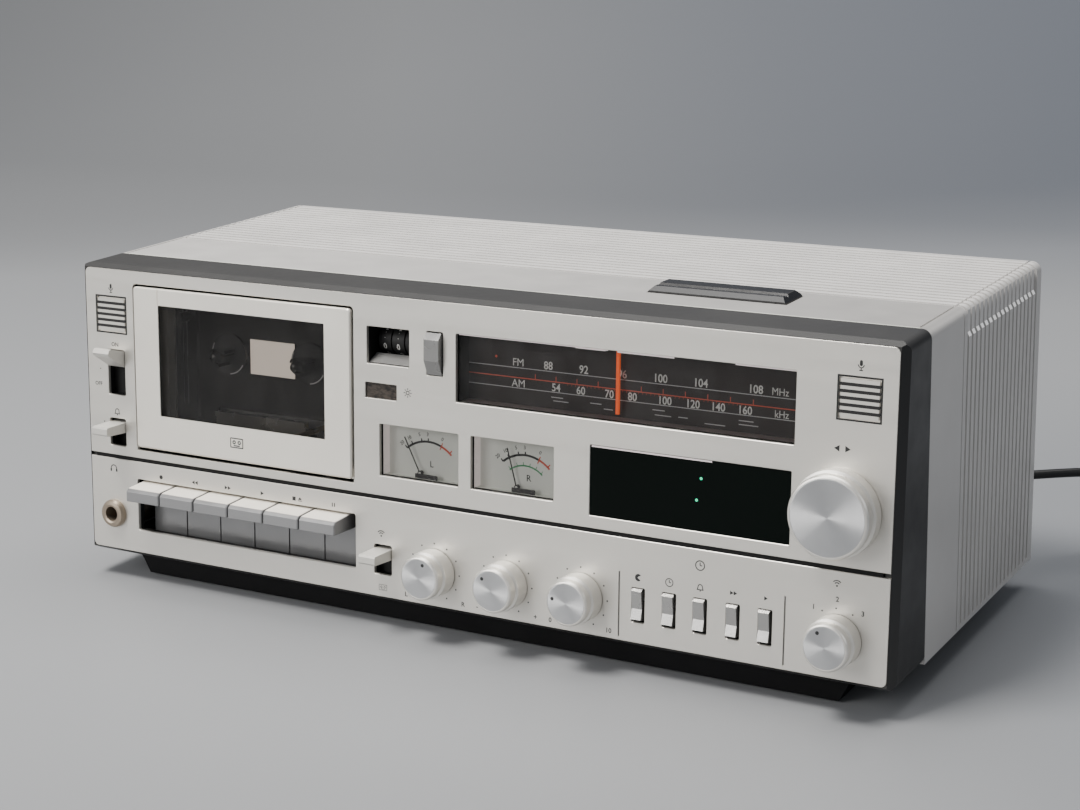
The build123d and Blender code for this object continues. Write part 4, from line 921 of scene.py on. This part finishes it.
# ---------------------------------------------------------------- spun faces on the knobs, and their index dots
REST = {"balance_knob": (180.8, 14.7, 18), "tone_knob": (214.6, 14.8, -42), "volume_knob": (248.3, 15.0, -78), "band_knob": (354.95, 15.4, -28)}
FACES = {name: (u, v, 8.05) for name, (u, v, a) in REST.items()}
FACES["tuning_knob"] = (354.2, 63.8, 14.4)
for name, (u, v, r_face) in FACES.items():
    y_face = -11.86
    bm = bmesh.new()
    n = 96
    # in the piece's own frame: z is the knob's axis, pointing at the viewer
    rings_ = []
    for r_, z_ in ((r_face - 0.02, 0.0), (r_face - 0.02, 0.06), (r_face - 0.22, 0.10), (r_face * 0.66, 0.10), (r_face * 0.33, 0.10), (0.4, 0.10)):
        rings_.append([bm.verts.new((r_ * math.cos(2 * math.pi * i / n), r_ * math.sin(2 * math.pi * i / n), z_)) for i in range(n)])
    for ra, rb in zip(rings_, rings_[1:]):
        for i in range(n):
            bm.faces.new((ra[i], ra[(i + 1) % n], rb[(i + 1) % n], rb[i]))
    bm.faces.new(rings_[-1])
    bm.transform(Matrix.Diagonal((1e-3, 1e-3, 1e-3, 1)))
    bmesh.ops.recalc_face_normals(bm, faces=bm.faces)
    me = bpy.data.meshes.new(name + "_face")
    bm.to_mesh(me)
    bm.free()
    ob = bpy.data.objects.new(name + "_face", me)
    # columns: own x -> row +X, own y -> up the fascia, own z -> out of the fascia
    ob.matrix_world = Matrix.Translation(FRONT @ Vector((u - 187.5, y_face, v))) @ Matrix(((1, 0, 0, 0), (0, SL, -CL, 0), (0, CL, SL, 0), (0, 0, 0, 1)))
    bpy.context.scene.collection.objects.link(ob)
    me.materials.append(M["spun"].m)
    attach(ob, name)
    if name in REST:
        a = math.radians(REST[name][2])
        k = Ink(y_face - 0.115)
        k.disc(u + 6.1 * math.sin(a), v + 6.1 * math.cos(a), 0.75, 24)
        k.done(name + "_dot", name, "ink", "knob_aluminium")

# ---------------------------------------------------------------- black facings of the sliding shields behind the levers
for name, u0, u1, y, low, high in (("power_switch_lever", 10.3, 22.2, 4.88, 69.9, 99.1), ("alarm_switch_lever", 10.3, 21.7, 6.48, 45.3, 65.2),
                                   ("function_switch_lever", 150.2, 161.2, 4.88, 8.4, 28.7)):
    bm = bmesh.new()
    add_box(bm, u0 - 187.5, u1 - 187.5, y, y + 0.11, low, high)
    finish_piece(name + "_shield_face", bm, name, "blackout")

# ---------------------------------------------------------------- floor, backdrop and light
bm = bmesh.new()
pts = []
W = 3.2
prof = [(-2.2, 0.0), (0.9, 0.0)]
for i in range(1, 13):
    a = math.radians(90 * i / 12)
    prof.append((0.9 + 0.9 * math.sin(a), 0.9 - 0.9 * math.cos(a)))
prof.append((1.8, 2.6))
cols = []
for x in (-W, W):
    cols.append([bm.verts.new((x, y, z)) for y, z in prof])
for a in range(len(prof) - 1):
    bm.faces.new((cols[0][a], cols[1][a], cols[1][a + 1], cols[0][a + 1]))
me = bpy.data.meshes.new("studio_sweep")
bm.to_mesh(me)
bm.free()
for p in me.polygons:
    p.use_smooth = True
floor = bpy.data.objects.new("studio_sweep", me)
bpy.context.scene.collection.objects.link(floor)
fm = Mat("studio_floor", (0.375, 0.385, 0.40), 0.5, spec=0.3)
tc = fm.node("ShaderNodeTexCoord")


def along(direction, lo, hi):
    """0 to 1 along a direction on the table."""
    d = fm.node("ShaderNodeVectorMath", operation="DOT_PRODUCT")
    d.inputs[1].default_value = direction
    fm.link(tc.outputs["Object"], d.inputs[0])
    r = fm.node("ShaderNodeMapRange")
    r.inputs["From Min"].default_value = lo
    r.inputs["From Max"].default_value = hi
    fm.link(d.outputs["Value"], r.inputs["Value"])
    return r.outputs["Result"]


def shade(fac, stops):
    out = fm.ramp(fac, stops)
    out.node.color_ramp.interpolation = "B_SPLINE"
    return out


def times(a, b, fac=None):
    mx = fm.node("ShaderNodeMix", data_type="RGBA", blend_type="MULTIPLY")
    mx.inputs[0].default_value = 1.0
    if fac is not None:
        fm.link(fac, mx.inputs[0])
    fm.link(a, mx.inputs[6])
    fm.link(b, mx.inputs[7])
    return mx.outputs[2]


# painted light and shade on the floor: a bright band behind the object with darker bands in front of it and further
# back, the far floor brighter on the left and darker and bluer on the right, and the near floor darker towards the
# right
depth = along((-0.5, 0.86, 0.0), -0.5, 1.5)
floor_painted_band = shade(depth, [(0.0, 0.78), (0.10, 0.82), (0.17, 1.0), (0.34, 1.0), (0.47, 1.50), (0.58, 1.05), (0.68, 0.80), (0.80, 0.86), (1.0, 1.0)])
side = shade(along((0.86, 0.5, 0.0), -0.9, 0.7), [(0.0, 1.04), (0.25, 1.20), (0.50, 0.98), (0.72, (0.66, 0.69, 0.75)), (1.0, (0.50, 0.54, 0.62))])
far = fm.ramp(depth, [(0.50, 0.0), (0.72, 1.0)])
near_right_painted_shade = shade(along((0.86, 0.5, 0.0), 0.0, 0.45), [(0.0, 1.0), (0.30, 0.97), (0.5, (0.82, 0.84, 0.87)), (1.0, (0.70, 0.73, 0.78))])
near = fm.ramp(depth, [(0.25, 1.0), (0.42, 0.0)])
base = fm.node("ShaderNodeRGB")
base.outputs[0].default_value = (0.275, 0.281, 0.291, 1)
fm.link(times(times(times(base.outputs[0], floor_painted_band), side, far), near_right_painted_shade, near), fm.p.inputs["Base Color"])
fm.vary_rough(fm.noise(1.2, 2), 0.03)
me.materials.append(fm.m)


def area(name, loc, target, size, power, color=(1, 1, 1), size_y=None):
    d = bpy.data.lights.new(name, "AREA")
    d.energy = power
    d.color = color
    d.size = size
    if size_y:
        d.shape = "RECTANGLE"
        d.size_y = size_y
    o = bpy.data.objects.new(name, d)
    o.location = loc
    o.rotation_euler = (Vector(target) - Vector(loc)).to_track_quat("-Z", "Y").to_euler()
    bpy.context.scene.collection.objects.link(o)
    return o


area("key_overhead", (-0.40, -0.62, 1.72), (0.0, 0.0, 0.05), 0.62, 43.0, (1.0, 0.975, 0.94), 0.5)
area("top_soft", (-0.1, 0.35, 1.55), (0.0, 0.05, 0.1), 1.4, 20.0, (1.0, 0.985, 0.965), 0.9)
area("fill_front_left", (-1.0, -1.75, 0.95), (0.0, -0.05, 0.08), 1.2, 28.0, (1.0, 0.985, 0.96))
area("fill_right", (1.7, 0.1, 0.9), (0.1, 0.0, 0.05), 1.0, 2.3, (0.95, 0.97, 1.0))
world = bpy.data.worlds.new("studio_world")
bpy.context.scene.world = world
world.use_nodes = True
bg = world.node_tree.nodes["Background"]
bg.inputs["Color"].default_value = (0.72, 0.75, 0.80, 1)
bg.inputs["Strength"].default_value = 0.38
